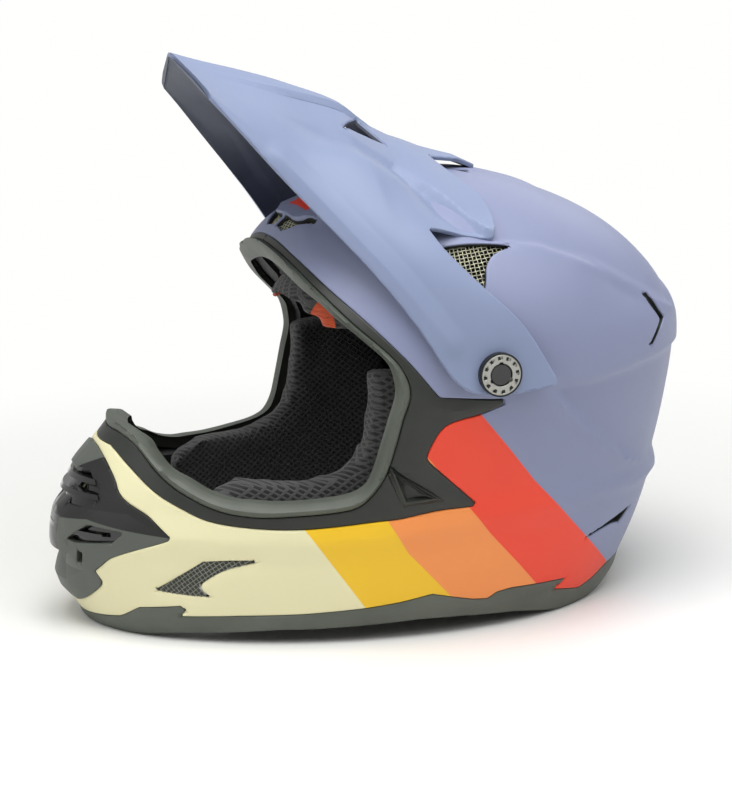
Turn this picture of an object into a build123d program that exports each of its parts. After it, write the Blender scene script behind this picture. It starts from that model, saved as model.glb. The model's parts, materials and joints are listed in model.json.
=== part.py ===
from build123d import *
from math import cos, hypot, pi, radians, sin
import os

os.makedirs("parts", exist_ok=True)

# Driving dimensions in millimetres, the helmet facing -X with its left side on -Y
span = 100.0
ring_steps = 10
blend_first = 7
blend_rows = 1
cut_reach = 2.0 * span
part_gap = 0.5
press_gap = 0.05
edge_gap = 0.3

shell_wall = 3.0
liner_outer = shell_wall + part_gap
trim_proud = 1.2
trim_inner = 5.0
seal_proud = 1.5
seal_inner = 7.0
cover_proud = 5.0
panel_depth = 20.0
crown_depth = 28.0
crown_pad_depth = 35.0
cheek_start = 21.5
cheek_depth = 42.0
neck_depth = 37.0
screen_wall = 1.2
fin_frame = 2.0
fin_lip = 4.0
visor_blend = 3

pivot_x = 35.0
pivot_z = 143.0
boss_radius = 12.0
boss_face = 120.4
boss_root = 108.0
washer_radius = 11.0
washer_wall = 1.2
eye_radius = 15.0
eye_wall = 2.6
eye_face = boss_face + washer_wall + 2.0 * edge_gap
screw_ring_radius = 11.2
screw_ring_wall = 3.6
screw_ring_bore = 5.6
screw_shank_radius = 3.6
screw_shank_end = 111.0
dimple_radius = 0.8
dimple_depth = 0.8
dimple_circle = 8.9
dimple_count = 12
notch_count = 3
notch_wide = 2.4
cap_radius = 5.2
cap_wall = 1.6
insert_radius = 7.0
insert_start = 110.0

visor_wall = 2.4
tab_inner = 105.0
tab_wall = 3.0
tab_half_width = 13.0
tab_start = 88.0
tab_end = 130.5
slot_start = 113.6
slot_end = 124.4
centre_turn = 122.0
centre_shank_radius = 3.0
centre_head_radius = 9.0
centre_head_wall = 4.5
centre_insert_radius = 6.5
centre_insert_root = 94.0
centre_shank_root = 96.5

strap_wide = 20.0
strap_wall = 1.6
strap_x = 62.0
strap_pivot_y = 78.0
strap_pivot_z = 74.0
strap_loop_bore = 2.3
ring_wire = 1.4
ring_thick = 2.4
ring_spread = 1.6
ring_bore = 3.4
ring_reach = 25.0
ring_inside = 22.0
anchor_wide = 30.0
anchor_wall = 1.6
anchor_bar = 3.0
anchor_slot = 4.2
anchor_slot_wide = 22.0
anchor_top = 18.0
anchor_pin_radius = 4.0
pin_z = strap_pivot_z + 12.0
fin_proud = 1.0

# Rings of the form: height, front, rear, half width, widest place, nose and tail taper
station_shares = (
    (-0.14, -1.50, 1.30, 0.95, 0.08, 0.12, -0.14),
    (0.00, -1.60, 1.39, 0.99, 0.08, 0.12, -0.12),
    (0.16, -1.69, 1.48, 1.03, 0.09, 0.16, -0.10),
    (0.40, -1.76, 1.60, 1.07, 0.12, 0.20, -0.08),
    (0.65, -1.73, 1.69, 1.10, 0.16, 0.22, -0.05),
    (0.90, -1.57, 1.76, 1.13, 0.20, 0.20, -0.02),
    (1.15, -1.35, 1.81, 1.17, 0.25, 0.14, 0.00),
    (1.40, -1.12, 1.835, 1.20, 0.30, 0.07, 0.00),
    (1.65, -0.90, 1.79, 1.185, 0.33, 0.02, 0.00),
    (1.88, -0.70, 1.625, 1.105, 0.35, 0.00, 0.00),
    (2.07, -0.50, 1.40, 0.96, 0.37, 0.00, 0.00),
    (2.22, -0.26, 1.12, 0.75, 0.38, 0.00, 0.00),
    (2.33, 0.02, 0.80, 0.48, 0.39, 0.00, 0.00),
    (2.373, 0.25, 0.58, 0.21, 0.40, 0.00, 0.00),
)

# Side-view outlines, x and z as shares of the span
surround_shares = (
    (-0.56, 2.04), (-0.53, 1.99), (-0.41, 1.85), (-0.25, 1.68), (-0.08, 1.49), (0.03, 1.35),
    (0.06, 1.315), (0.40, 1.28), (0.40, 1.25), (0.28, 1.21), (0.13, 1.175), (0.07, 1.135),
    (0.005, 1.01), (0.01, 0.98), (0.08, 0.91), (0.27, 0.73), (0.26, 0.71), (0.05, 0.70),
    (-0.14, 0.67), (-0.24, 0.665), (-0.61, 0.635), (-0.85, 0.64), (-1.06, 0.67), (-1.19, 0.73),
    (-1.30, 0.80), (-1.40, 0.91), (-1.46, 1.025), (-1.75, 1.10), (-1.75, 2.35), (-0.75, 2.28),
)
seal_outer_shares = (
    (-0.60, 2.01), (-0.56, 1.96), (-0.47, 1.845), (-0.33, 1.69), (-0.16, 1.52), (-0.10, 1.42),
    (-0.085, 1.33), (-0.12, 1.21), (-0.16, 1.05), (-0.21, 0.90), (-0.30, 0.78), (-0.38, 0.735),
    (-0.67, 0.705), (-0.85, 0.70), (-1.02, 0.73), (-1.18, 0.81), (-1.27, 0.89), (-1.36, 1.03),
    (-1.41, 1.09), (-1.75, 1.17), (-1.75, 2.35), (-0.80, 2.27),
)
seal_inner_shares = (
    (-0.63, 1.945), (-0.58, 1.88), (-0.49, 1.80), (-0.41, 1.72), (-0.27, 1.58), (-0.19, 1.49),
    (-0.165, 1.40), (-0.16, 1.32), (-0.19, 1.20), (-0.24, 1.01), (-0.27, 0.91), (-0.31, 0.84),
    (-0.39, 0.80), (-0.53, 0.78), (-0.73, 0.77), (-0.87, 0.78), (-0.96, 0.79), (-1.07, 0.83),
    (-1.16, 0.89), (-1.24, 0.94), (-1.30, 1.02), (-1.32, 1.09), (-1.37, 1.14), (-1.75, 1.24),
    (-1.75, 2.35), (-0.85, 2.26),
)
trim_top_shares = (
    (-2.00, 0.06), (-1.63, 0.06), (-1.48, 0.10), (-1.40, 0.17), (-1.21, 0.20), (-1.18, 0.18),
    (-1.21, 0.14), (-0.92, 0.16), (-0.61, 0.17), (-0.30, 0.19), (-0.12, 0.21), (0.05, 0.24),
    (0.28, 0.18), (0.37, 0.17), (0.42, 0.20), (0.51, 0.21), (0.70, 0.20), (0.87, 0.19),
    (0.79, 0.14), (0.98, 0.095), (1.08, 0.12), (1.15, 0.16), (1.19, 0.20), (1.27, 0.255),
    (2.10, 0.275),
)
trim_foot_shares = (
    (2.10, 0.165), (1.70, 0.165), (1.31, 0.12), (1.18, 0.04), (1.08, 0.00), (0.84, 0.00),
    (0.55, 0.06), (0.20, 0.09), (-0.01, 0.10), (-0.61, 0.08), (-0.73, 0.08), (-1.21, 0.04),
    (-1.40, 0.00), (-2.00, 0.00),
)
chin_liner_shares = (
    (-2.00, 0.22), (-1.48, 0.25), (-1.21, 0.28), (-0.92, 0.25), (-0.30, 0.27), (-0.085, 0.305),
    (-0.085, 0.80), (-0.20, 0.865), (-0.295, 0.755), (-0.375, 0.72), (-0.67, 0.69),
    (-0.85, 0.685), (-1.025, 0.715), (-1.195, 0.80), (-1.29, 0.88), (-1.38, 1.025), (-1.43, 1.08),
    (-2.00, 1.20),
)
crown_liner_shares = (
    (-0.65, 2.60), (-0.65, 2.07), (-0.55, 1.97), (-0.46, 1.855), (-0.32, 1.70), (-0.15, 1.53),
    (-0.09, 1.425), (-0.075, 1.33), (-0.11, 1.21), (-0.15, 1.05), (-0.19, 0.90), (-0.075, 0.82),
    (-0.075, 0.315), (0.12, 0.315), (0.28, 0.285), (1.00, 0.285), (1.18, 0.30), (1.28, 0.345),
    (2.10, 0.36), (2.10, 2.60),
)
crown_pad_shares = (
    (-0.10, 2.60), (-0.26, 2.06), (-0.12, 1.76), (-0.05, 1.64), (2.10, 1.64), (2.10, 2.60),
)
forehead_shares = (
    (-0.56, 1.88), (-0.44, 1.68), (-0.37, 1.58), (-0.27, 1.555), (-0.19, 1.62), (-0.28, 1.80),
    (-0.33, 1.97), (-0.24, 2.06), (-0.40, 2.16), (-0.62, 1.98),
)
cheek_shares = (
    (-0.98, 0.24), (-1.04, 0.50), (-1.01, 0.73), (-0.84, 0.81), (-0.52, 0.84), (-0.36, 0.88),
    (-0.27, 0.97), (-0.22, 1.12), (-0.17, 1.32), (-0.19, 1.43), (0.24, 1.44), (0.36, 1.34),
    (0.42, 1.10), (0.45, 0.60), (0.45, 0.14), (0.43, 0.03), (0.08, 0.03), (-0.20, 0.09),
    (-0.70, 0.14),
)
neck_shares = (
    (0.84, 0.26), (0.84, 0.60), (1.10, 0.68), (2.10, 0.68), (2.10, 0.30), (1.20, 0.27), (1.00, 0.24),
)
cover_shares = (
    (-1.51, 0.97), (-1.49, 0.91), (-1.47, 0.84), (-1.46, 0.78), (-1.43, 0.74), (-1.34, 0.68),
    (-1.29, 0.63), (-1.24, 0.58), (-1.25, 0.56), (-1.32, 0.53), (-1.42, 0.49), (-1.52, 0.44),
    (-1.56, 0.40), (-1.60, 0.35), (-1.57, 0.30), (-1.57, 0.27), (-1.66, 0.13), (-2.20, 0.11),
    (-2.20, 1.01),
)
upper_window_shares = ((-1.60, 0.875), (-1.535, 0.81), (-1.555, 0.68), (-2.20, 0.66), (-2.20, 0.89))
middle_window_shares = ((-1.47, 0.60), (-1.50, 0.51), (-2.20, 0.46), (-2.20, 0.60))
lower_window_shares = ((-1.64, 0.415), (-1.645, 0.36), (-2.20, 0.34), (-2.20, 0.42))
fin_frame_shares = ((-1.505, 0.90), (-1.42, 0.63), (-1.46, 0.47), (-2.20, 0.42), (-2.20, 0.92))
fin_height_shares = ((0.80, 0.825), (0.73, 0.755), (0.535, 0.56))
fin_root_share = -1.56
screen_slot_shares = ((0.69, 0.725), (0.755, 0.79), (0.82, 0.855), (0.49, 0.52), (0.55, 0.58))
screen_root_share = -1.52
upper_air_shares = ((-1.30, 0.87), (-1.30, 0.69), (-2.20, 0.66), (-2.20, 0.89))
middle_air_shares = ((-1.30, 0.595), (-1.30, 0.50), (-2.20, 0.46), (-2.20, 0.60))
side_vent_shares = (
    (-1.33, 0.28), (-1.10, 0.455), (-0.85, 0.47), (-0.86, 0.455), (-1.00, 0.41), (-1.11, 0.33),
    (-1.11, 0.30), (-1.07, 0.26), (-1.15, 0.26), (-1.26, 0.27),
)
mesh_vent_shares = (
    (0.14, 2.045), (0.33, 2.06), (0.53, 2.035), (0.46, 1.98), (0.40, 1.93), (0.33, 1.86),
    (0.27, 1.92), (0.20, 1.98),
)
rear_slot_shares = (
    (1.36, 1.71), (1.40, 1.71), (1.52, 1.55), (1.40, 1.43), (1.36, 1.43), (1.47, 1.55),
)
low_slot_shares = (
    (0.91, 0.385), (1.17, 0.435), (1.26, 0.42), (1.33, 0.475), (1.35, 0.495), (1.17, 0.46),
)
# Top-view outline of the brow vent, x and y
brow_vent_shares = (
    (-0.48, -0.16), (-0.47, -0.05), (-0.40, -0.06), (-0.415, -0.19), (-0.37, -0.26),
    (-0.31, -0.355), (-0.335, -0.38), (-0.42, -0.33), (-0.47, -0.28),
)

# Small slot of the crown behind the visor
crown_slot_shares = ((0.47, -0.15), (0.62, -0.17), (0.54, -0.24))

# Sections of the visor: ridge x and z, edge x and z, half width
visor_shares = (
    (-1.01, 3.025, -0.92, 2.82, 0.58),
    (-0.72, 2.935, -0.73, 2.57, 0.68),
    (-0.40, 2.835, -0.50, 2.28, 0.80),
    (-0.09, 2.725, -0.26, 1.98, 1.02),
    (0.18, 2.60, -0.02, 1.63, 1.20),
    (0.42, 2.50, 0.16, 1.37, 1.255),
    (0.62, 2.43, 0.42, 1.32, 1.265),
    (0.86, 2.35, 0.74, 1.36, 1.265),
)
wide_shares = (0.0, 0.20, 0.50, 0.675, 0.80, 0.915, 0.97, 1.0)
front_fall_shares = (0.0, 0.10, 0.36, 0.52, 0.66, 0.80, 0.90, 1.0)
middle_fall_shares = (0.0, 0.04, 0.19, 0.32, 0.47, 0.67, 0.84, 1.0)
rear_fall_shares = (0.0, 0.03, 0.13, 0.215, 0.31, 0.47, 0.70, 1.0)
visor_rear_shares = (
    (0.08, 2.16), (0.30, 2.13), (0.49, 2.09), (0.68, 2.09), (0.68, 2.90), (1.30, 2.90),
    (1.30, 0.90), (0.67, 0.90),
    (0.665, 1.38), (0.50, 1.66), (0.31, 1.86), (0.14, 2.05),
)
# Top-view outline of what is cut behind the lobes and beside the tongue, x and y
lobe_shares = ((1.20, 0.07), (0.69, 0.07), (0.36, 0.25), (0.50, 0.62), (0.505, 0.80), (1.20, 0.80))
visor_window_shares = ((-0.19, 0.44), (-0.08, 0.37), (0.04, 0.50))

# Paths of the chin straps below their hangers, distance off the middle plane and height
strap_path_shares = {
    "left": ((0.78, 0.709), (0.765, 0.50), (0.72, 0.26), (0.64, 0.115), (0.52, 0.068), (0.38, 0.064)),
    "right": ((0.78, 0.709), (0.765, 0.50), (0.72, 0.26), (0.64, 0.11), (0.50, 0.058), (0.20, 0.05)),
}


def slopes(row, column):
    """Side-view normal of one profile of the form at a station, outward then upward."""
    low = station_shares[max(row - 1, 0)]
    high = station_shares[min(row + 1, len(station_shares) - 1)]
    rise = high[0] - low[0]
    sign = -1.0 if column == 1 else 1.0
    grow = sign * (high[column] - low[column])
    size = hypot(rise, grow)
    return rise / size, -grow / size


def moved_station(row, depth):
    """One ring of the form, moved inwards by a depth measured along the surface normals."""
    height, front, rear, wide, mid, nose, tail = station_shares[row]
    out, up = slopes(row, 3)
    front_out, front_up = slopes(row, 1)
    rear_out, rear_up = slopes(row, 2)
    front_move = depth * (1 - up * front_up) / front_out
    rear_move = depth * (1 - up * rear_up) / rear_out
    return (
        height * span - depth * up,
        front * span + front_move,
        rear * span - rear_move,
        wide * span - depth * out,
        mid * span,
        nose,
        tail,
    )


def solid_form(depth, crown=None):
    """The helmet form as one solid, its surface moved inwards by a depth, or by two blended."""
    ring_marks = [step / ring_steps for step in range(ring_steps + 1)]
    with BuildPart() as form:
        for row in range(len(station_shares)):
            blend = 0 if crown is None else min(max(row - blend_first, 0) / blend_rows, 1)
            deep = depth if crown is None else depth + (crown - depth) * blend
            height, front, rear, wide, mid, nose, tail = moved_station(row, deep)
            spots = [(front, 0)]
            for step in range(1, ring_steps):
                turn = pi * step / ring_steps
                back = cos(turn) < 0
                reach = rear - mid if back else mid - front
                taper = tail if back else nose
                side = wide * sin(turn) * (1 - taper * cos(turn) ** 2)
                spots.append((mid - reach * cos(turn), -side))
            spots.append((rear, 0))
            leads = [(0, -pi * wide * (1 - nose)), (0, pi * wide * (1 - tail))]
            with BuildSketch(Plane.XY.offset(height)):
                with BuildLine():
                    add(Edge.make_spline(spots, tangents=leads, parameters=ring_marks, scale=False))
                    mirror(about=Plane.XZ)
                make_face()
        loft()
    return form.part


def prism(outline, plane, start, end, grow=0):
    """A straight prism on an outline given in shares of the span."""
    with BuildPart() as block:
        with BuildSketch(plane.offset(start)):
            with BuildLine():
                Polyline(*[(across * span, along * span) for across, along in outline], close=True)
            make_face()
            if grow:
                offset(amount=grow, kind=Kind.INTERSECTION)
        extrude(amount=end - start)
    return block.part


def side_prism(outline, grow=0):
    """A prism through both sides of the helmet."""
    return prism(outline, Plane.XZ, -cut_reach, cut_reach, grow)


def one_side_prism(outline, side, grow=0):
    """A prism through one side of the helmet, side 1 being the left."""
    plane = Plane.XZ if side > 0 else Plane(origin=(0, 0, 0), x_dir=(1, 0, 0), z_dir=(0, 1, 0))
    flipped = outline if side > 0 else [(across, -along) for across, along in outline]
    return prism(flipped, plane, 0, cut_reach, grow)


def save(builder, name):
    builder.part.label = name
    export_step(builder.part, "parts/" + name + ".step")


def disc(side, radius, start, end, across=pivot_x, along=pivot_z):
    """A round bar along Y on one side, from one distance off the middle plane to another."""
    plane = Plane(origin=(across, -side * start, along), x_dir=(1, 0, 0), z_dir=(0, -side, 0))
    with BuildPart() as bar:
        with BuildSketch(plane):
            Circle(radius)
        extrude(amount=end - start)
    return bar.part


def lay(outer, zone, inner, cuts=()):
    """Adds the part of a form inside a zone, less some cutters and what lies deeper."""
    add(outer)
    add(zone, mode=Mode.INTERSECT)
    for cut in cuts:
        add(cut, mode=Mode.SUBTRACT)
    add(inner, mode=Mode.SUBTRACT)


def radial_bar(turn, radius, start, end):
    """A round bar pointing away from the visor axis in the middle plane."""
    across = cos(radians(turn))
    along = sin(radians(turn))
    plane = Plane(
        origin=(pivot_x + start * across, 0, pivot_z + start * along),
        x_dir=(0, 1, 0),
        z_dir=(across, 0, along),
    )
    with BuildPart() as bar:
        with BuildSketch(plane):
            Circle(radius)
        extrude(amount=end - start)
    return bar.part


def top_prism(outline, side, grow=0):
    """A vertical prism through the crown on one side, side 1 being the left."""
    flipped = [(across, along * side) for across, along in outline]
    return prism(flipped, Plane.XY, pivot_z, cut_reach + pivot_z, grow)


def sheet_outline(section):
    """Outer and inner points of one visor section, across and down its plane."""
    ridge_x, ridge_z, edge_x, edge_z, wide = visor_shares[section]
    fall = hypot(edge_x - ridge_x, edge_z - ridge_z) * span
    place = section / visor_blend
    if place < 1:
        first, second, mix = front_fall_shares, middle_fall_shares, place
    else:
        first, second, mix = middle_fall_shares, rear_fall_shares, min(place - 1, 1)
    half = []
    for step, wide_share in enumerate(wide_shares):
        drop = first[step] + (second[step] - first[step]) * mix
        half.append((wide * span * wide_share, fall * drop))
    inner = []
    for step, (across, down) in enumerate(half):
        before = half[max(step - 1, 0)] if step else (-half[1][0], half[1][1])
        after = half[min(step + 1, len(half) - 1)]
        size = hypot(after[0] - before[0], after[1] - before[1])
        inner.append((
            across - visor_wall * (after[1] - before[1]) / size,
            down + visor_wall * (after[0] - before[0]) / size,
        ))
    left = [(-across, down) for across, down in half[:0:-1]]
    inner_left = [(-across, down) for across, down in inner[:0:-1]]
    return left + half, inner_left + inner


def arc_band(inside, outside, start, end, half_wide):
    """A band of a cylinder about the visor axis, symmetric about the middle plane."""
    with BuildPart() as band:
        with BuildSketch(Plane.XZ):
            with BuildLine():
                low = CenterArc((pivot_x, pivot_z), inside, start, end - start)
                high = CenterArc((pivot_x, pivot_z), outside, start, end - start)
                Line(low @ 0, high @ 0)
                Line(low @ 1, high @ 1)
            make_face()
        extrude(amount=half_wide, both=True)
    return band.part


def strap_plane(start):
    """A plane across the helmet at one place along X, across being Y and along Z."""
    return Plane(origin=(start, 0, 0), x_dir=(0, 1, 0), z_dir=(1, 0, 0))


def along_bar(side, radius, across, along, start, wide):
    """A round bar along X at one place on one side."""
    with BuildPart() as bar:
        with BuildSketch(strap_plane(start)):
            with Locations((-side * across, along)):
                Circle(radius)
        extrude(amount=wide)
    return bar.part


outer_form = solid_form(0)
wall_form = solid_form(shell_wall)
liner_form = solid_form(liner_outer)
screen_form = solid_form(liner_outer + screen_wall)
panel_form = solid_form(panel_depth)
pad_form = solid_form(panel_depth + part_gap)
cheek_form = solid_form(cheek_depth)
neck_form = solid_form(neck_depth)
trim_form = solid_form(-trim_proud)
thick_form = solid_form(panel_depth, crown_depth)
sides = {"left": 1, "right": -1}

trim_above = list(trim_top_shares) + [(2.10, 3.00), (-2.00, 3.00)]
surround_zone = side_prism(surround_shares)
seal_outer_zone = side_prism(seal_outer_shares)
seal_inner_zone = side_prism(seal_inner_shares)
cover_zone = side_prism(cover_shares)
upper_air = side_prism(upper_air_shares)
middle_air = side_prism(middle_air_shares)

# Outer shell
with BuildPart() as outer_shell:
    add(outer_form)
    add(side_prism(trim_above, -edge_gap), mode=Mode.INTERSECT)
    add(surround_zone, mode=Mode.SUBTRACT)
    add(cover_zone, mode=Mode.SUBTRACT)
    for side in sides.values():
        add(one_side_prism(side_vent_shares, side), mode=Mode.SUBTRACT)
        add(one_side_prism(mesh_vent_shares, side), mode=Mode.SUBTRACT)
        add(one_side_prism(rear_slot_shares, side), mode=Mode.SUBTRACT)
        add(one_side_prism(low_slot_shares, side), mode=Mode.SUBTRACT)
        add(top_prism(brow_vent_shares, side), mode=Mode.SUBTRACT)
        add(top_prism(crown_slot_shares, side), mode=Mode.SUBTRACT)
    add(wall_form, mode=Mode.SUBTRACT)
    for side in sides.values():
        add(disc(side, boss_radius, boss_root, boss_face))
        add(disc(side, insert_radius + edge_gap, 0, cut_reach), mode=Mode.SUBTRACT)
    add(radial_bar(centre_turn, centre_insert_radius + edge_gap, centre_insert_root, tab_inner),
        mode=Mode.SUBTRACT)
save(outer_shell, "outer_shell")

# Base trim, a rubber band below the shell edge
with BuildPart() as base_trim:
    lay(trim_form, side_prism(list(trim_foot_shares) + list(trim_top_shares)), solid_form(trim_inner))
save(base_trim, "base_trim")

# Surround and seal of the eyeport
with BuildPart() as eyeport_surround:
    lay(outer_form, side_prism(surround_shares, -edge_gap), wall_form, (seal_outer_zone,))
save(eyeport_surround, "eyeport_surround")
with BuildPart() as eyeport_seal:
    lay(solid_form(-seal_proud), side_prism(seal_outer_shares, -edge_gap), solid_form(seal_inner),
        (seal_inner_zone,))
save(eyeport_seal, "eyeport_seal")

# Chin liner, set back behind the vent cover and open where the air comes in
with BuildPart() as cover_room:
    lay(outer_form, side_prism(cover_shares, 2.0 * edge_gap), solid_form(seal_inner + fin_frame))
with BuildPart() as chin_liner:
    add(liner_form)
    add(side_prism(chin_liner_shares), mode=Mode.INTERSECT)
    add(upper_air, mode=Mode.SUBTRACT)
    add(middle_air, mode=Mode.SUBTRACT)
    for side in sides.values():
        add(one_side_prism(side_vent_shares, side, edge_gap + screen_wall), mode=Mode.SUBTRACT)
    add(panel_form, mode=Mode.SUBTRACT)
    add(cover_room.part, mode=Mode.SUBTRACT)
save(chin_liner, "chin_liner")

# Crown liner, thicker over the head, with the anchor and screw holes
with BuildPart() as crown_liner:
    add(liner_form)
    add(side_prism(crown_liner_shares), mode=Mode.INTERSECT)
    for side in sides.values():
        add(disc(side, boss_radius + edge_gap, boss_root - edge_gap, cut_reach), mode=Mode.SUBTRACT)
        add(one_side_prism(mesh_vent_shares, side, edge_gap + screen_wall), mode=Mode.SUBTRACT)
        add(top_prism(brow_vent_shares, side, edge_gap + screen_wall), mode=Mode.SUBTRACT)
        add(disc(side, anchor_pin_radius + edge_gap, 0, cut_reach, strap_x, pin_z), mode=Mode.SUBTRACT)
    add(radial_bar(centre_turn, centre_insert_radius + edge_gap, centre_insert_root - edge_gap,
                   tab_inner), mode=Mode.SUBTRACT)
    add(thick_form, mode=Mode.SUBTRACT)
save(crown_liner, "crown_liner")

# Chin vent cover, fins and screen
windows = [side_prism(w) for w in (upper_window_shares, middle_window_shares, lower_window_shares)]
with BuildPart() as chin_vent_cover:
    lay(solid_form(-cover_proud), side_prism(cover_shares, -edge_gap), wall_form, windows)
save(chin_vent_cover, "chin_vent_cover")
with BuildPart() as fin_blades:
    for low, high in fin_height_shares:
        blade = ((-2.20, low), (-2.20, high), (fin_root_share, high), (fin_root_share, low))
        add(side_prism(blade))
    add(solid_form(-fin_proud), mode=Mode.INTERSECT)
    add(solid_form(liner_outer + fin_frame / 2), mode=Mode.SUBTRACT)
with BuildPart() as chin_vent_fins:
    lay(solid_form(shell_wall + edge_gap), side_prism(fin_frame_shares), solid_form(trim_inner + edge_gap),
        [side_prism(w, -fin_lip) for w in (upper_window_shares, middle_window_shares)])
    add(fin_blades.part)
save(chin_vent_fins, "chin_vent_fins")
with BuildPart() as chin_vent_screen:
    slots = [
        side_prism(((-2.20, low), (-2.20, high), (screen_root_share, high), (screen_root_share, low)))
        for low, high in screen_slot_shares
    ]
    lay(solid_form(trim_inner + 2.0 * edge_gap), side_prism(fin_frame_shares, -fin_frame / 2),
        solid_form(trim_inner + 2.0 * edge_gap + screen_wall), slots)
save(chin_vent_screen, "chin_vent_screen")

# Vent inserts and screens of both sides
vent_front = solid_form(shell_wall / 2)
for name, side in sides.items():
    with BuildPart() as side_vent:
        lay(vent_front, one_side_prism(side_vent_shares, side, -edge_gap), wall_form)
    save(side_vent, "chin_side_vent_" + name)
    with BuildPart() as brow_screen:
        lay(liner_form, top_prism(brow_vent_shares, side, screen_wall), screen_form)
    save(brow_screen, "brow_vent_screen_" + name)
    with BuildPart() as crown_screen:
        lay(liner_form, one_side_prism(mesh_vent_shares, side, screen_wall), screen_form)
    save(crown_screen, "crown_vent_screen_" + name)

# Soft pads
pad_face = solid_form(panel_depth + part_gap, crown_depth + part_gap)
with BuildPart() as crown_pad:
    lay(pad_face, side_prism(crown_pad_shares), solid_form(crown_pad_depth))
save(crown_pad, "crown_pad")
with BuildPart() as forehead_pad:
    lay(pad_face, side_prism(forehead_shares), solid_form(crown_pad_depth))
save(forehead_pad, "forehead_pad")
with BuildPart() as neck_roll:
    lay(pad_form, side_prism(neck_shares), neck_form)
save(neck_roll, "neck_roll")
cheek_front = solid_form(cheek_start)
for name, side in sides.items():
    with BuildPart() as cheek_pad:
        lay(cheek_front, one_side_prism(cheek_shares, side), cheek_form)
    save(cheek_pad, "cheek_pad_" + name)

# Visor
with BuildPart() as visor:
    for section, (ridge_x, ridge_z, edge_x, edge_z, wide) in enumerate(visor_shares):
        outer, inner = sheet_outline(section)
        marks = [step / (len(outer) - 1) for step in range(len(outer))]
        size = hypot(edge_x - ridge_x, edge_z - ridge_z)
        plane = Plane(
            origin=(ridge_x * span, 0, ridge_z * span),
            x_dir=(0, 1, 0),
            z_dir=((edge_z - ridge_z) / size, 0, (ridge_x - edge_x) / size),
        )
        with BuildSketch(plane):
            with BuildLine():
                add(Edge.make_spline(outer, parameters=marks))
                Line(outer[-1], inner[-1])
                add(Edge.make_spline(inner[::-1], parameters=marks))
                Line(inner[0], outer[0])
            make_face()
    loft()
    add(side_prism(visor_rear_shares), mode=Mode.SUBTRACT)
    for side in sides.values():
        add(top_prism(lobe_shares, -side), mode=Mode.SUBTRACT)
        add(top_prism(visor_window_shares, -side), mode=Mode.SUBTRACT)
        add(disc(side, eye_radius, 0, eye_face), mode=Mode.SUBTRACT)
        add(disc(side, eye_radius, eye_face, eye_face + eye_wall))
        add(disc(side, screw_shank_radius + edge_gap, 0, cut_reach), mode=Mode.SUBTRACT)
        add(disc(side, screw_ring_radius + part_gap, eye_face + eye_wall, cut_reach), mode=Mode.SUBTRACT)
    add(arc_band(tab_inner, tab_inner + tab_wall, tab_start, tab_end, tab_half_width))
    add(arc_band(tab_inner - tab_wall, tab_inner + 2.0 * tab_wall, slot_start, slot_end,
                 centre_shank_radius + part_gap), mode=Mode.SUBTRACT)
save(visor, "visor")

# Visor screws, caps, washers and inserts of both sides
head_start = eye_face + eye_wall + edge_gap
head_end = head_start + screw_ring_wall
for name, side in sides.items():
    with BuildPart() as visor_screw:
        add(disc(side, screw_ring_radius, head_start, head_end))
        add(disc(side, screw_shank_radius, screw_shank_end, head_start + cap_wall))
        add(disc(side, screw_ring_bore, head_start + cap_wall, head_end + cap_wall), mode=Mode.SUBTRACT)
        for count in range(dimple_count):
            turn = 2 * pi * count / dimple_count
            across = pivot_x + dimple_circle * cos(turn)
            along = pivot_z + dimple_circle * sin(turn)
            add(disc(side, dimple_radius, head_end - dimple_depth, head_end + dimple_depth, across, along),
                mode=Mode.SUBTRACT)
        for count in range(notch_count):
            turn = 2 * pi * count / notch_count + pi / 2
            across = pivot_x + screw_ring_bore * cos(turn)
            along = pivot_z + screw_ring_bore * sin(turn)
            add(disc(side, notch_wide / 2, head_start + cap_wall, head_end + cap_wall, across, along),
                mode=Mode.SUBTRACT)
    save(visor_screw, "visor_screw_" + name)
    with BuildPart() as screw_cap:
        add(disc(side, cap_radius, head_start + cap_wall, head_start + 2 * cap_wall))
    save(screw_cap, "visor_screw_cap_" + name)
    with BuildPart() as visor_washer:
        add(disc(side, washer_radius, boss_face + edge_gap, boss_face + edge_gap + washer_wall))
        add(disc(side, screw_shank_radius + edge_gap, 0, cut_reach), mode=Mode.SUBTRACT)
    save(visor_washer, "visor_washer_" + name)
    with BuildPart() as visor_insert:
        add(disc(side, insert_radius - press_gap, insert_start, boss_face - edge_gap))
        add(disc(side, screw_shank_radius + edge_gap, 0, cut_reach), mode=Mode.SUBTRACT)
    save(visor_insert, "visor_insert_" + name)

# Centre screw of the visor and its insert
tab_outer = tab_inner + tab_wall
with BuildPart() as centre_screw:
    add(radial_bar(centre_turn, centre_head_radius, tab_outer + edge_gap,
                   tab_outer + edge_gap + centre_head_wall))
    add(radial_bar(centre_turn, centre_shank_radius, centre_shank_root, tab_outer + centre_head_wall / 2))
    add(radial_bar(centre_turn, centre_shank_radius, tab_outer + centre_head_wall / 2,
                   tab_outer + 2 * centre_head_wall), mode=Mode.SUBTRACT)
save(centre_screw, "visor_centre_screw")
with BuildPart() as centre_insert:
    add(radial_bar(centre_turn, centre_insert_radius - press_gap, centre_insert_root,
                   tab_inner - edge_gap))
    add(radial_bar(centre_turn, centre_shank_radius + edge_gap, centre_shank_root - edge_gap, tab_inner),
        mode=Mode.SUBTRACT)
save(centre_insert, "visor_centre_insert")

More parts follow.
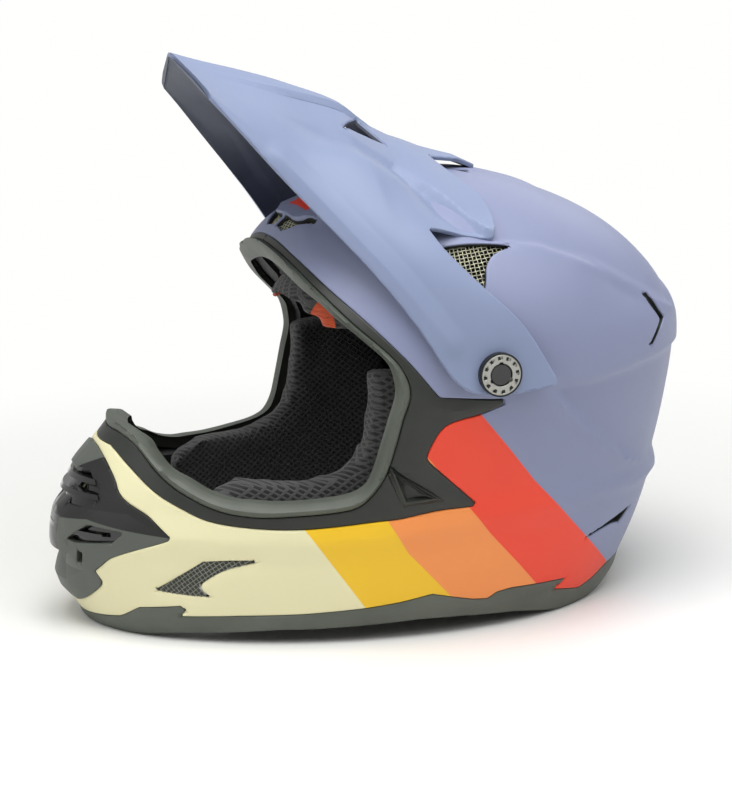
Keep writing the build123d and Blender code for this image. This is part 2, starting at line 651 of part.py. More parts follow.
# Chin straps, their hangers and the ring pair
strap_start = strap_x - strap_wide / 2
loop_drop = strap_loop_bore + strap_wall / 2
for name, side in sides.items():
    with BuildPart() as strap_anchor:
        low = strap_pivot_z - anchor_bar / 2
        middle = low + anchor_top / 2
        with BuildSketch(Plane(origin=(strap_x, -side * (strap_pivot_y - anchor_wall / 2), middle),
                               x_dir=(1, 0, 0), z_dir=(0, -side, 0))):
            Rectangle(anchor_wide, anchor_top)
            slot_shift = anchor_bar + anchor_slot / 2 - anchor_top / 2
            with Locations((0, side * slot_shift)):
                Rectangle(anchor_slot_wide, anchor_slot, mode=Mode.SUBTRACT)
        extrude(amount=anchor_wall)
        add(disc(side, anchor_pin_radius, strap_pivot_y, strap_pivot_y + boss_radius, strap_x, pin_z))
    save(strap_anchor, "strap_anchor_" + name)
    path = [(across * span, along * span) for across, along in strap_path_shares[name]]
    thick = []
    for step, (across, along) in enumerate(path):
        before = path[max(step - 1, 0)]
        after = path[min(step + 1, len(path) - 1)]
        size = hypot(after[0] - before[0], after[1] - before[1])
        lean = strap_wall / 2 * (after[1] - before[1]) / size
        rise = strap_wall / 2 * (after[0] - before[0]) / size
        thick.append((across, along, lean, rise))
    one_face = [(-side * (across - lean), along + rise) for across, along, lean, rise in thick]
    other_face = [(-side * (across + lean), along - rise) for across, along, lean, rise in thick]
    end_across, end_along = path[-1]
    with BuildPart() as chin_strap:
        with BuildSketch(strap_plane(strap_start)):
            with BuildLine():
                Spline(*one_face)
                Line(one_face[-1], other_face[-1])
                Spline(*other_face[::-1])
                Line(other_face[0], one_face[0])
            make_face()
        extrude(amount=strap_wide)
        add(along_bar(side, strap_loop_bore + strap_wall, strap_pivot_y, strap_pivot_z, strap_start,
                      strap_wide))
        add(along_bar(side, strap_loop_bore, strap_pivot_y, strap_pivot_z, strap_start - strap_wall,
                      strap_wide + 2 * strap_wall), mode=Mode.SUBTRACT)
        if name == "left":
            ring_y = end_across - ring_bore - strap_wall / 2
            add(along_bar(side, ring_bore + strap_wall, ring_y, end_along, strap_start, strap_wide))
            add(along_bar(side, ring_bore, ring_y, end_along, strap_start - strap_wall,
                          strap_wide + 2 * strap_wall), mode=Mode.SUBTRACT)
    save(chin_strap, "chin_strap_" + name)

ring_z = strap_path_shares["left"][-1][1] * span
ring_y = strap_path_shares["left"][-1][0] * span - ring_bore - strap_wall / 2
bar_half = ring_wire
inside_half = ring_inside / 2
outside_half = inside_half + 2 * ring_wire
handle = 4 * ring_reach / 3
for name, lift in (("upper", 1), ("lower", -1)):
    middle = ring_z + lift * ring_spread
    with BuildPart() as d_ring:
        with BuildSketch(Plane(origin=(strap_x, -ring_y, middle - ring_thick / 2), x_dir=(1, 0, 0),
                               z_dir=(0, 0, 1))):
            with BuildLine():
                Bezier((outside_half, -bar_half), (outside_half, handle), (-outside_half, handle),
                       (-outside_half, -bar_half))
                Line((-outside_half, -bar_half), (outside_half, -bar_half))
            make_face()
            with BuildLine():
                Bezier((inside_half, bar_half), (inside_half, handle - 2 * ring_wire),
                       (-inside_half, handle - 2 * ring_wire), (-inside_half, bar_half))
                Line((-inside_half, bar_half), (inside_half, bar_half))
            make_face(mode=Mode.SUBTRACT)
        extrude(amount=ring_thick)
    save(d_ring, "d_ring_" + name)
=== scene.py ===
"""Looks of a downhill full face helmet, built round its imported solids.

The helmet faces -X, its left side lies on -Y, and all shapes are worked out in millimetres.
"""

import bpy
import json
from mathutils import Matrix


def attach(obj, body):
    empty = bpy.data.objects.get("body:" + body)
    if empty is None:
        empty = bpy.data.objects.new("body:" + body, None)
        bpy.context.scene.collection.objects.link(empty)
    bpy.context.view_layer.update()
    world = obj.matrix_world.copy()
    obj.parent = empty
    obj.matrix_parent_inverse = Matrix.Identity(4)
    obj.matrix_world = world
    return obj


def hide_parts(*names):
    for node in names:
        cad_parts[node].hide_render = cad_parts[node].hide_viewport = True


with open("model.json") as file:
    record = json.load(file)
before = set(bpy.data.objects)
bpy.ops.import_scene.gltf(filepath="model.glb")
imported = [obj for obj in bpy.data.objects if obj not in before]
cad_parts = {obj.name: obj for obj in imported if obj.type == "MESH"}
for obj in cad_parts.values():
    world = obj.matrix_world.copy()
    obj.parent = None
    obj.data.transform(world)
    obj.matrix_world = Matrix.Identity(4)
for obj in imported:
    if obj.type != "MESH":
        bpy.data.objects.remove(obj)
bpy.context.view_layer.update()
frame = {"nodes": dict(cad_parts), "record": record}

import json
import logging
import math
from dataclasses import dataclass
from enum import Enum
from functools import cache, cached_property
from typing import Callable, Iterable, Sequence

import bmesh
import bpy
import numpy as np
from bpy.types import Material, Node, NodeSocket, NodeTree, Object
from mathutils import Matrix, Vector
from mathutils.geometry import delaunay_2d_cdt
from mathutils.kdtree import KDTree

logging.basicConfig(level=logging.INFO, format="%(message)s")
LOG = logging.getLogger("helmet")
MM = 0.001

Array = np.ndarray
Spots = Sequence[tuple[float, float]]
Span = tuple[float, float]
Triple = tuple[float, float, float]
Colour = Triple
Pair = tuple[int, int]


class View(Enum):
    """The flat view in which an outline is drawn."""

    SIDE = (0, 2)
    TOP = (0, 1)
    FRONT = (1, 2)


class Side(Enum):
    """The wearer's two sides, with the sign of Y."""

    LEFT = -1
    RIGHT = 1

    @property
    def word(self) -> str:
        """Name of the side as node names spell it."""
        return self.name.lower()


# ---------------- curves and outlines


class Spline:
    """Natural cubic spline through rows of values."""

    def __init__(self, knots: Sequence[float], rows: Sequence) -> None:
        """Solves the curve.

        Args:
            knots: Rising parameter values.
            rows: One row of values for each knot.
        """
        self.knots = np.asarray(knots, float)
        self.rows = np.asarray(rows, float)
        gaps = np.diff(self.knots)
        count = len(self.knots)
        system = np.eye(count)
        right = np.zeros_like(self.rows)
        for k in range(1, count - 1):
            system[k, k - 1 : k + 2] = (gaps[k - 1], 2 * (gaps[k - 1] + gaps[k]), gaps[k])
            right[k] = 6 * (
                (self.rows[k + 1] - self.rows[k]) / gaps[k]
                - (self.rows[k] - self.rows[k - 1]) / gaps[k - 1]
            )
        self.bend = np.linalg.solve(system, right.reshape(count, -1)).reshape(self.rows.shape)

    def at(self, places: Array, own: bool = False) -> Array:
        """Values of the curve at an array of parameters.

        Args:
            places: Parameters.
            own: Whether each parameter has a column of the rows to itself.

        Returns:
            One row of values for each.
        """
        k = np.clip(np.searchsorted(self.knots, places) - 1, 0, len(self.knots) - 2)
        column = (np.arange(len(k)),) if own else ()
        low, high = (k, *column), (k + 1, *column)
        shape = (-1,) + (1,) * (self.rows[low].ndim - 1)
        gap = (self.knots[k + 1] - self.knots[k]).reshape(shape)
        b = (places - self.knots[k]).reshape(shape) / gap
        a = 1 - b
        bend = (a**3 - a) * self.bend[low] + (b**3 - b) * self.bend[high]
        return a * self.rows[low] + b * self.rows[high] + bend * gap**2 / 6


def smooth_line(spots: Spots, corners: Iterable[int], closed: bool, step: float) -> Array:
    """Runs a smooth line through spots, sharp at its corners.

    Args:
        spots: Points of the line.
        corners: Numbers of the spots where the line breaks.
        closed: Whether it returns to its start.
        step: Greatest distance between two points of the result.

    Returns:
        The points, without a repeat of the first one.
    """
    points = np.asarray(spots, float)
    count = len(points)
    sharp = set(corners)
    result = []
    for k in range(count if closed else count - 1):
        a, b = points[k], points[(k + 1) % count]
        size = np.linalg.norm(b - a)
        leads = []
        for here, near, far in ((k, -1, a), ((k + 1) % count, 1, b)):
            end = not closed and here in (0, count - 1)
            if here in sharp or end:
                leads.append(b - a)
                continue
            before, after = points[here - 1], points[(here + 1) % count]
            reach = np.linalg.norm(points[here] - before) + np.linalg.norm(after - points[here])
            leads.append((after - before) / reach * size)
        straight = k in sharp and (k + 1) % count in sharp
        steps = 1 if straight else max(1, int(math.ceil(size / step)))
        u = (np.arange(steps) / steps)[:, None]
        result.append(
            (2 * u**3 - 3 * u**2 + 1) * a
            + (u**3 - 2 * u**2 + u) * leads[0]
            + (3 * u**2 - 2 * u**3) * b
            + (u**3 - u**2) * leads[1]
        )
    if not closed:
        result.append(points[-1:])
    return np.concatenate(result)


def in_parts(points: Array, sides: int, most: int = 400000) -> list[Array]:
    """Splits points so that a table of points by sides stays small."""
    return np.array_split(points, len(points) * sides // most + 1)


def dots(a: Array, b: Array) -> Array:
    """Dot products of two rows of vectors."""
    return np.einsum("ij,ij->i", a, b)


def run_along(line: Array) -> Array:
    """Length of a line up to each of its points."""
    return np.concatenate([[0], np.cumsum(np.linalg.norm(np.diff(line, axis=0), axis=1))])


def search_tree(spots: Array, keys: Iterable[int]) -> KDTree:
    """Search tree of some spots under their keys.

    Args:
        spots: The spots.
        keys: Their keys.

    Returns:
        The tree.
    """
    tree = KDTree(max(1, len(spots)))
    for key, spot in zip(keys, spots):
        tree.insert(spot, key)
    tree.balance()
    return tree


def line_gap(points: Array, line: Array, closed: bool = False) -> tuple[Array, Array]:
    """Distance of points to a line of segments.

    Args:
        points: Points of a flat view.
        line: Points of the line.
        closed: Whether the line returns to its start.

    Returns:
        The distances, positive on the left of the line's way, and how far along it they fall.
    """
    ends = np.concatenate([line, line[:1]]) if closed else line
    start, way = ends[:-1], np.diff(ends, axis=0)
    size = np.maximum(np.hypot(way[:, 0], way[:, 1]), 1e-9)
    run = np.concatenate([[0], np.cumsum(size)[:-1]])
    gaps, places = [], []
    for part in in_parts(points, len(way)):
        dx, dy = part[:, :1] - start[:, 0], part[:, 1:2] - start[:, 1]
        u = np.clip((dx * way[:, 0] + dy * way[:, 1]) / size**2, 0, 1)
        far = np.hypot(dx - u * way[:, 0], dy - u * way[:, 1])
        pick, best = np.arange(len(part)), far.argmin(axis=1)
        cross = way[best, 0] * dy[pick, best] - way[best, 1] * dx[pick, best]
        gaps.append(np.where(cross >= 0, 1.0, -1.0) * far[pick, best])
        places.append(run[best] + u[pick, best] * size[best])
    return np.concatenate(gaps), np.concatenate(places)


def within(points: Array, line: Array) -> Array:
    """Whether points lie inside a closed line.

    Args:
        points: Points of a flat view.
        line: Points of the line.

    Returns:
        One truth value for each point.
    """
    after = np.roll(line, -1, axis=0)
    rise = after[:, 1] - line[:, 1]
    slope = (after[:, 0] - line[:, 0]) / np.where(rise == 0, 1e-12, rise)
    answers = []
    for part in in_parts(points, len(line)):
        y = part[:, 1:2]
        across = (line[:, 1] > y) != (after[:, 1] > y)
        left = part[:, :1] < slope * (y - line[:, 1]) + line[:, 0]
        answers.append((across & left).sum(1) % 2 == 1)
    return np.concatenate(answers)


@dataclass(frozen=True)
class Outline:
    """A closed outline of one view, smooth but for its corners.

    An outline of the top view reaches down to its floor, one of the front view back to its rear.
    """

    spots: Spots
    corners: tuple[int, ...] = ()
    view: View = View.SIDE
    floor: float = 150.0
    rear: float = -100.0
    step: float = 2.0

    @cached_property
    def line(self) -> Array:
        """Points of the outline."""
        return smooth_line(self.spots, self.corners, True, self.step)

    def depth(self, points: Array, reach: float = 16.0) -> Array:
        """How far inside the outline points of the surface lie.

        Args:
            points: Points in space, on either side of the helmet.
            reach: Distance past which points outside aren't measured.

        Returns:
            The depths, negative outside.
        """
        flat = points[:, list(self.view.value)].copy()
        if self.view is not View.SIDE:
            flat[:, self.view.value.index(1)] = np.abs(points[:, 1])
        low, high = self.line.min(axis=0) - reach, self.line.max(axis=0) + reach
        near = ((flat > low) & (flat < high)).all(axis=1)
        if self.view is View.TOP:
            near &= points[:, 2] > self.floor
        if self.view is View.FRONT:
            near &= points[:, 0] < self.rear
        result = np.full(len(flat), -reach)
        if near.any():
            gap = np.abs(line_gap(flat[near], self.line, True)[0])
            result[near] = np.where(within(flat[near], self.line), gap, -gap)
        return result


def ease(value: Array, low: float, high: float) -> Array:
    """Smooth rise from 0 at low to 1 at high."""
    u = np.clip((value - low) / (high - low), 0, 1)
    return u * u * (3 - 2 * u)


# ---------------- surfaces


class ShellForm:
    """Outer form of the shell, in rings of one height each."""

    rings = (
        (-14, -150, 130, 95, 8, 0.12, -0.14),
        (0, -160, 139, 99, 8, 0.12, -0.12),
        (16, -169, 148, 103, 9, 0.16, -0.10),
        (40, -176, 160, 107, 12, 0.20, -0.08),
        (65, -173, 169, 110, 16, 0.22, -0.05),
        (90, -157, 176, 113, 20, 0.20, -0.02),
        (115, -135, 181, 117, 25, 0.14, 0.0),
        (140, -112, 183.5, 120, 30, 0.07, 0.0),
        (165, -90, 179, 118.5, 33, 0.02, 0.0),
        (188, -70, 162.5, 110.5, 35, 0.0, 0.0),
        (207, -50, 140, 96, 37, 0.0, 0.0),
        (222, -26, 112, 75, 38, 0.0, 0.0),
        (233, 2, 80, 48, 39, 0.0, 0.0),
        (237.3, 25, 58, 21, 40, 0.0, 0.0),
    )
    crown = (238.0, 41.0, 41.0, 0.0, 41.0, 0.0, 0.0)
    spread = 115.0

    def __init__(self) -> None:
        """Runs the curves through the rings and on over the crown."""
        over = [
            (z, 82 - front, 82 - rear, -half, 82 - wide, nose, tail)
            for z, front, rear, half, wide, nose, tail in self.rings[:-4:-1]
        ]
        rows = np.array([*self.rings, self.crown, *over], float)
        knots = run_along(rows[:, [0, 3]])
        self.curve = Spline(knots, rows)
        self.top = float(knots[len(self.rings)])
        self.low = float(knots[0])
        self.width = math.pi * self.spread

    def place(self, flat: Array) -> Array:
        """Points of the surface.

        Args:
            flat: Pairs of turn and rise on its flat plan.

        Returns:
            The points in space.
        """
        turn = flat[:, 0] / self.spread
        z, front, rear, half, wide, nose, tail = self.curve.at(flat[:, 1]).T
        swing = np.cos(turn)
        reach = np.where(swing > 0, wide - front, rear - wide)
        taper = np.where(swing > 0, nose, tail)
        x = wide - reach * swing
        y = -half * np.sin(turn) * (1 - taper * swing**2)
        return np.stack([x, y, z], 1)

    def row(self, rise: float, gap: float) -> Array:
        """Places along one row of the plan.

        Args:
            rise: Place of the row on the plan.
            gap: Distance between two places on the surface.

        Returns:
            The places.
        """
        _, front, rear, half, *_ = self.curve.at(np.array([rise]))[0]
        count = max(2, int(round(1.6 * (abs(half) + (rear - front) / 2) / gap)))
        return np.linspace(0, self.width, count + 1)


class VisorForm:
    """Upper face of the visor, in profiles across it from its lip to its pivots."""

    profiles = (
        (-101, 302.5, -92, 282, 58),
        (-72, 293.5, -73, 257, 68),
        (-40, 283.5, -50, 228, 80),
        (-9, 272.5, -26, 198, 102),
        (18, 260, -2, 163, 120),
        (42, 250, 16, 137, 125.5),
        (62, 243, 42, 132, 126.5),
        (86, 235, 74, 136, 126.5),
    )
    across = (0.0, 0.20, 0.50, 0.675, 0.80, 0.915, 0.97, 1.0)
    falls = (
        (0.0, 0.10, 0.36, 0.52, 0.66, 0.80, 0.90, 1.0),
        (0.0, 0.04, 0.19, 0.32, 0.47, 0.67, 0.84, 1.0),
        (0.0, 0.03, 0.13, 0.215, 0.31, 0.47, 0.70, 1.0),
    )
    wide_step = 22.0
    long_step = 34.0
    half_girth = 150.0

    def __init__(self) -> None:
        """Runs the curves along the visor."""
        across, falls = np.array(self.across), np.array(self.falls)
        rows = []
        for number, (ridge_x, ridge_z, edge_x, edge_z, half) in enumerate(self.profiles):
            place = min(number / 3, 2)
            k = min(int(place), 1)
            fall = falls[k] + (falls[k + 1] - falls[k]) * (place - k)
            x, z = ridge_x + (edge_x - ridge_x) * fall, ridge_z + (edge_z - ridge_z) * fall
            rows.append(np.stack([x, -half * across, z], 1))
        self.rows = Spline(range(len(rows)), rows)
        self.low = 0.0
        self.top = (len(rows) - 1) * self.long_step
        self.width = (len(self.across) - 1) * self.wide_step

    def place(self, flat: Array) -> Array:
        """Points of the surface.

        Args:
            flat: Pairs of across and along on its flat plan.

        Returns:
            The points in space.
        """
        lines = self.rows.at(flat[:, 1] / self.long_step)
        lines = np.concatenate([lines[:, 2:0:-1] * (1, -1, 1), lines], 1)
        profile = Spline(np.arange(-2, len(self.across)), np.moveaxis(lines, 1, 0))
        point = profile.at(np.abs(flat[:, 0]) / self.wide_step, own=True)
        point[:, 1] *= np.where(flat[:, 0] < 0, -1.0, 1.0)
        return point

    def row(self, rise: float, gap: float) -> Array:
        """Places along one row of the plan, about one gap apart on the surface."""
        return np.linspace(0, self.width, int(round(self.half_girth / gap)) + 1)


Surface = ShellForm | VisorForm
HEAD_CENTRE = (30.0, 0.0, 90.0)


def frames(surface: Surface, flat: Array, step: float = 0.4) -> tuple[Array, Array, Array, Array]:
    """Local frames of a surface.

    Args:
        surface: The surface.
        flat: Places of its plan.
        step: Distance on the plan over which slopes are taken.

    Returns:
        Points, outward normals, and the slopes along both ways of the plan.
    """
    point = surface.place(flat)
    right = surface.place(flat + (step, 0)) - surface.place(flat - (step, 0))
    up = surface.place(flat + (0, step)) - surface.place(flat - (0, step))
    normal = np.cross(right, up)
    size = np.linalg.norm(normal, axis=1)
    weak = size < 1e-7
    normal[weak] = (0, 0, 1)
    size[weak] = 1
    normal /= size[:, None]
    away = dots(normal, point - np.array(HEAD_CENTRE))
    normal[~weak] *= -1.0 if np.median(away) < 0 else 1.0
    return point, normal, right / (2 * step), up / (2 * step)


def trace(surface: Surface, shape: Callable[[Array], Array], gap: float) -> list[Array]:
    """Finds the lines on a surface's plan where a shape's depth is nought.

    Args:
        surface: The surface.
        shape: Depth inside the wanted piece, from points of the surface.
        gap: Spacing of the search.

    Returns:
        Lines of the plan, closed ones with their first point repeated.
    """
    columns = int(surface.width / gap) + 1
    rows = int((surface.top - surface.low) / gap) + 1
    s = np.linspace(0, surface.width, columns)
    v = np.linspace(surface.low, surface.top, rows)
    grid = np.stack(np.meshgrid(s, v), -1).reshape(-1, 2)
    depth = shape(surface.place(grid)).reshape(rows, columns)
    depth = np.where(np.abs(depth) < 1e-6, 1e-6, depth)
    ds, dv = s[1] - s[0], v[1] - v[0]
    sign = depth > 0
    mixed = sign[:-1, :-1].astype(int) + sign[1:, :-1] + sign[:-1, 1:] + sign[1:, 1:]
    links: dict[tuple, list[tuple]] = {}
    spots: dict[tuple, tuple[float, float]] = {}

    def crossing(j: int, i: int, jj: int, ii: int) -> tuple:
        """Key of the point where the line crosses one side of a cell.

        Args:
            j: Row of the side's first end.
            i: Its column.
            jj: Row of the other end.
            ii: Its column.

        Returns:
            The key.
        """
        key = (j, i, jj, ii)
        if key not in spots:
            a, b = depth[j, i], depth[jj, ii]
            u = min(max(a / (a - b), 0.02), 0.98)
            spots[key] = (s[0] + (i + (ii - i) * u) * ds, v[0] + (j + (jj - j) * u) * dv)
        return key

    for j, i in zip(*np.nonzero((mixed > 0) & (mixed < 4))):
        ring = ((j, i), (j, i + 1), (j + 1, i + 1), (j + 1, i))
        hits = []
        for a, b in zip(ring, ring[1:] + ring[:1]):
            if sign[a] != sign[b]:
                low, high = min(a, b), max(a, b)
                hits.append(crossing(*low, *high))
        for a, b in zip(hits[::2], hits[1::2]):
            links.setdefault(a, []).append(b)
            links.setdefault(b, []).append(a)
    lines = []
    left = set(links)
    ends = sorted(key for key, near in links.items() if len(near) == 1)
    for start in ends + sorted(links):
        if start not in left:
            continue
        chain = [start]
        left.discard(start)
        while True:
            onward = [key for key in links[chain[-1]] if key in left]
            if not onward:
                break
            chain.append(onward[0])
            left.discard(onward[0])
        if len(chain) > 2:
            if chain[0] in links[chain[-1]] and len(chain) > 3:
                chain.append(chain[0])
            lines.append(np.array([spots[key] for key in chain]))
    return lines


@dataclass
class Cut:
    """A walled piece cut out of a surface.

    Its upper face follows the surface, raised by proud and by the lift at each point, and falls
    away in a rounding of radius edge at the rim. Ledges are the rows of points that carry it.
    """

    surface: Surface
    shape: Callable[[Array], Array]
    lift: Callable[[Array], Array] | None = None
    proud: float = 0.0
    wall: float = 3.0
    edge: float = 0.8
    gap: float = 2.6
    ledges: tuple[float, ...] = (0.3, 0.8, 1.7)
    sharp: float = 38.0
    creases: tuple[Array, ...] = ()
    lined: tuple[Outline, ...] = ()
    search: float = 1.3
    rim_step: float = 1.5
    snap: float = 0.05
    merge: float = 1e-3

    def rims(self) -> list[tuple[Array, bool]]:
        """Rim lines on the plan in even steps.

        Returns:
            Each line, and whether it is closed.
        """
        found = []
        for line in trace(self.surface, self.shape, self.search):
            run = run_along(self.surface.place(line))
            if run[-1] < self.rim_step:
                continue
            closed = np.allclose(line[0], line[-1])
            marks = np.linspace(0, run[-1], max(4, int(run[-1] / self.rim_step)) + 1)
            fine = np.stack([np.interp(marks, run, line[:, k]) for k in (0, 1)], 1)
            for end in (0, self.surface.width):
                fine[np.abs(fine[:, 0] - end) < self.snap, 0] = end
            found.append((fine[:-1] if closed else fine, closed))
        return found

    def beside_rims(self, rims: list[Array]) -> list[Array]:
        """Points of the plan on both sides of the rims that fall inside the piece.

        Args:
            rims: Rim lines on the plan.

        Returns:
            The points.
        """
        surface = self.surface
        point, normal, right, up = frames(surface, np.concatenate(rims))
        tree = search_tree(point, range(len(point)))
        found = []
        start = 0
        for fine in rims:
            part = slice(start, start + len(fine))
            start += len(fine)
            way = np.roll(point[part], -1, axis=0) - np.roll(point[part], 1, axis=0)
            way /= np.linalg.norm(way, axis=1)[:, None] + 1e-9
            out = np.cross(normal[part], way)
            r, u = right[part], up[part]
            rr, uu, ru, ro, uo = dots(r, r), dots(u, u), dots(r, u), dots(r, out), dots(u, out)
            scale = rr * uu - ru**2 + 1e-9
            step = np.stack([(ro * uu - uo * ru) / scale, (uo * rr - ro * ru) / scale], 1)
            for ledge in self.ledges:
                for sign in (1, -1):
                    spots = fine + step * ledge * sign
                    placed = surface.place(spots)
                    good = self.shape(placed) > 0.12 * ledge
                    good &= (spots[:, 0] > 0.4) & (spots[:, 0] < surface.width - 0.4)
                    for spot, place in zip(spots[good], placed[good]):
                        if tree.find(place)[2] > ledge * 0.86:
                            found.append(spot)
        return found

    def beside_sheet_ends(self) -> list[Array]:
        """Points along the ends of the visor's sheet.

        Returns:
            One pair of rows for each ledge.
        """
        form = self.surface
        along = np.linspace(0, form.width, 110)
        over = np.linspace(form.low, form.top, 150)
        found = []
        for ledge in self.ledges:
            found.append(np.stack([along, np.full(len(along), form.low + ledge)], 1))
            found.append(np.stack([np.full(len(over), form.width - ledge), over], 1))
        return found

    def filling(self, taken: Array) -> list[Array]:
        """Points that fill the piece between others.

        Args:
            taken: Points of the plan that are there already.

        Returns:
            The new points, about one gap apart.
        """
        surface = self.surface
        near = search_tree(surface.place(taken), range(len(taken)))
        rows = int(round((surface.top - surface.low) / self.gap))
        found = []
        for number, rise in enumerate(np.linspace(surface.low, surface.top, rows + 1)):
            row = surface.row(rise, self.gap)
            if number % 2 and len(row) > 4:
                row = np.concatenate([row[:1], (row[:-1] + row[1:]) / 2, row[-1:]])
            flat = np.stack([row, np.full(len(row), rise)], 1)
            placed = surface.place(flat)
            for spot, place, inside in zip(flat, placed, self.shape(placed)):
                on_end = spot[0] in (0.0, surface.width)
                reach = self.gap * (0.25 if on_end else 0.62)
                if inside > -self.gap * 3 and near.find(place)[2] > reach:
                    found.append(spot)
        return found

    def plan(self) -> tuple[Array, Array]:
        """Flat mesh of the piece, on one side of the helmet.

        Returns:
            Points of the plan, and triangles on them.
        """
        points: list[Array] = []
        edges: list[Pair] = []
        total = 0
        rims = self.rims()
        for fine, closed in rims:
            size = len(fine)
            edges += [(total + k, total + (k + 1) % size) for k in range(size - (not closed))]
            points.append(fine)
            total += size
        if rims:
            points += [np.array([spot]) for spot in self.beside_rims([fine for fine, _ in rims])]
        if isinstance(self.surface, VisorForm):
            points += self.beside_sheet_ends()
        total = sum(map(len, points))
        for crease in self.creases:
            points.append(crease)
            edges += [(total + k, total + k + 1) for k in range(len(crease) - 1)]
            total += len(crease)
        points.append(np.array(self.filling(np.concatenate(points))))
        made = delaunay_2d_cdt([Vector(p) for p in np.concatenate(points)], edges, [], 0, 1e-4)
        verts = np.array([tuple(v) for v in made[0]])
        tris = np.array([f for f in made[2] if len(f) == 3])
        middle = verts[tris].mean(axis=1)
        tris = tris[self.shape(self.surface.place(middle)) > 0]
        used, number = np.unique(tris, return_inverse=True)
        return verts[used], number.reshape(-1, 3)

    def build(self, name: str) -> Object:
        """Makes the piece, mirrored to both sides.

        Args:
            name: Name of the object.

        Returns:
            The new object.
        """
        flat, tris = self.plan()
        point, normal, _, _ = frames(self.surface, flat)
        plane = flat[:, 0] < 1e-3
        if not isinstance(self.surface, VisorForm):
            plane |= flat[:, 0] > self.surface.width - 1e-3
        normal[plane, 1] = 0
        normal[plane] /= np.linalg.norm(normal[plane], axis=1)[:, None]
        border = [pair for pair in borders(tris) if not (plane[pair[0]] and plane[pair[1]])]
        lined = np.zeros(len(point), bool)
        for hole in self.lined:
            lined |= hole.depth(point) > -1.0
        inside = np.clip(self.edge - self.rim_gap(point, border), 0, self.edge)
        drop = self.edge - np.sqrt(np.maximum(self.edge**2 - inside**2, 0))
        lift = self.lift(point) if self.lift else np.zeros(len(point))
        upper = point + normal * (self.proud + lift - drop)[:, None]
        low = np.zeros(len(point)) if self.proud > 0 else np.minimum(self.proud + lift, 0)
        lower = point + normal * (low - self.wall)[:, None]
        upper[plane, 1] = 0
        lower[plane, 1] = 0
        a, b, c = (point[tris[:, k]] for k in range(3))
        facing = dots(np.cross(b - a, c - a), normal[tris[:, 0]])
        tris = np.where((facing < 0)[:, None], tris[:, ::-1], tris)
        size = len(point)
        faces = [tuple(map(int, tri)) for tri in tris]
        way = {pair for a, b, c in faces for pair in ((a, b), (b, c), (c, a))}
        faces += [(c + size, b + size, a + size) for a, b, c in faces]
        kinds = [0] * len(tris) + [1] * len(tris)
        # Rim walls round the lined holes take the second, darker finish: painted shade inside the vents and
        # the visor window.
        for p, q in border:
            p, q = (p, q) if (p, q) in way else (q, p)
            faces.append((q, p, p + size, q + size))
            kinds.append(int(lined[p] and lined[q]))
        one = np.concatenate([upper, lower])
        faces += [tuple(k + len(one) for k in reversed(face)) for face in faces]
        verts = np.concatenate([one, one * (1, -1, 1)])
        return mesh_object(name, verts, faces, self.merge, self.sharp, kinds * 2)

    def rim_gap(self, point: Array, border: list[Pair], reach: float = 4.0) -> Array:
        """Distance of each point to the piece's rim.

        Args:
            point: The points.
            border: Pairs of points that the rim joins.
            reach: Distance past which the rim isn't looked for.

        Returns:
            The distances, more than the reach where no rim is near.
        """
        gap = np.full(len(point), 9.0)
        near: dict[int, list[int]] = {}
        for p, q in border:
            near.setdefault(p, []).append(q)
            near.setdefault(q, []).append(p)
        keys = sorted(near)
        tree = search_tree(point[keys], keys)
        for k, spot in enumerate(point):
            if k in near:
                gap[k] = 0
                continue
            for _, key, far in tree.find_n(spot, 2):
                if far > reach:
                    continue
                a = point[key]
                for other in near[key]:
                    way = point[other] - a
                    u = np.clip(np.dot(spot - a, way) / (np.dot(way, way) + 1e-9), 0, 1)
                    gap[k] = min(gap[k], float(np.linalg.norm(spot - a - u * way)))
        return gap


def borders(tris: Array) -> list[Pair]:
    """Sides that only one triangle has.

    Args:
        tris: Corner numbers of the triangles.

    Returns:
        Pairs of corners.
    """
    count: dict[Pair, int] = {}
    for a, b, c in tris.tolist():
        for p, q in ((a, b), (b, c), (c, a)):
            count[(min(p, q), max(p, q))] = count.get((min(p, q), max(p, q)), 0) + 1
    return [pair for pair, uses in count.items() if uses == 1]


# ---------------- meshes


def mesh_object(
    name: str,
    verts: Array,
    faces: Sequence[tuple[int, ...]],
    merge: float = 0.0,
    angle: float = 38.0,
    kinds: Sequence[int] = (),
) -> Object:
    """Makes an object of a mesh given in millimetres.

    Args:
        name: Name of the object and its mesh.
        verts: Corner places.
        faces: Corner numbers of each face.
        merge: Distance below which corners become one, or 0.
        angle: Edges sharper than this many degrees stay crisp.
        kinds: Material number of each face, or none.

    Returns:
        The object, linked to the scene.
    """
    mesh = bpy.data.meshes.new(name)
    mesh.from_pydata((np.asarray(verts, float) * MM).tolist(), [], [list(f) for f in faces])
    if len(kinds):
        mesh.polygons.foreach_set("material_index", kinds)
    mesh.validate()
    if merge:
        work = bmesh.new()
        work.from_mesh(mesh)
        bmesh.ops.remove_doubles(work, verts=work.verts, dist=merge * MM)
        bmesh.ops.dissolve_degenerate(work, edges=work.edges, dist=1e-7)
        work.to_mesh(mesh)
        work.free()
    shade(mesh, angle)
    return shown(name, mesh)


def shown(name: str, data: bpy.types.ID | None) -> Object:
    """Makes an object of some data and links it to the scene.

    Args:
        name: Name of the object.
        data: Its mesh, lamp or camera.

    Returns:
        The object.
    """
    thing = bpy.data.objects.new(name, data)
    bpy.context.scene.collection.objects.link(thing)
    return thing


def shade(mesh: bpy.types.Mesh, angle: float) -> None:
    """Shades a mesh smooth but for its sharp edges."""
    mesh.shade_smooth()
    mesh.set_sharp_from_angle(angle=math.radians(angle))


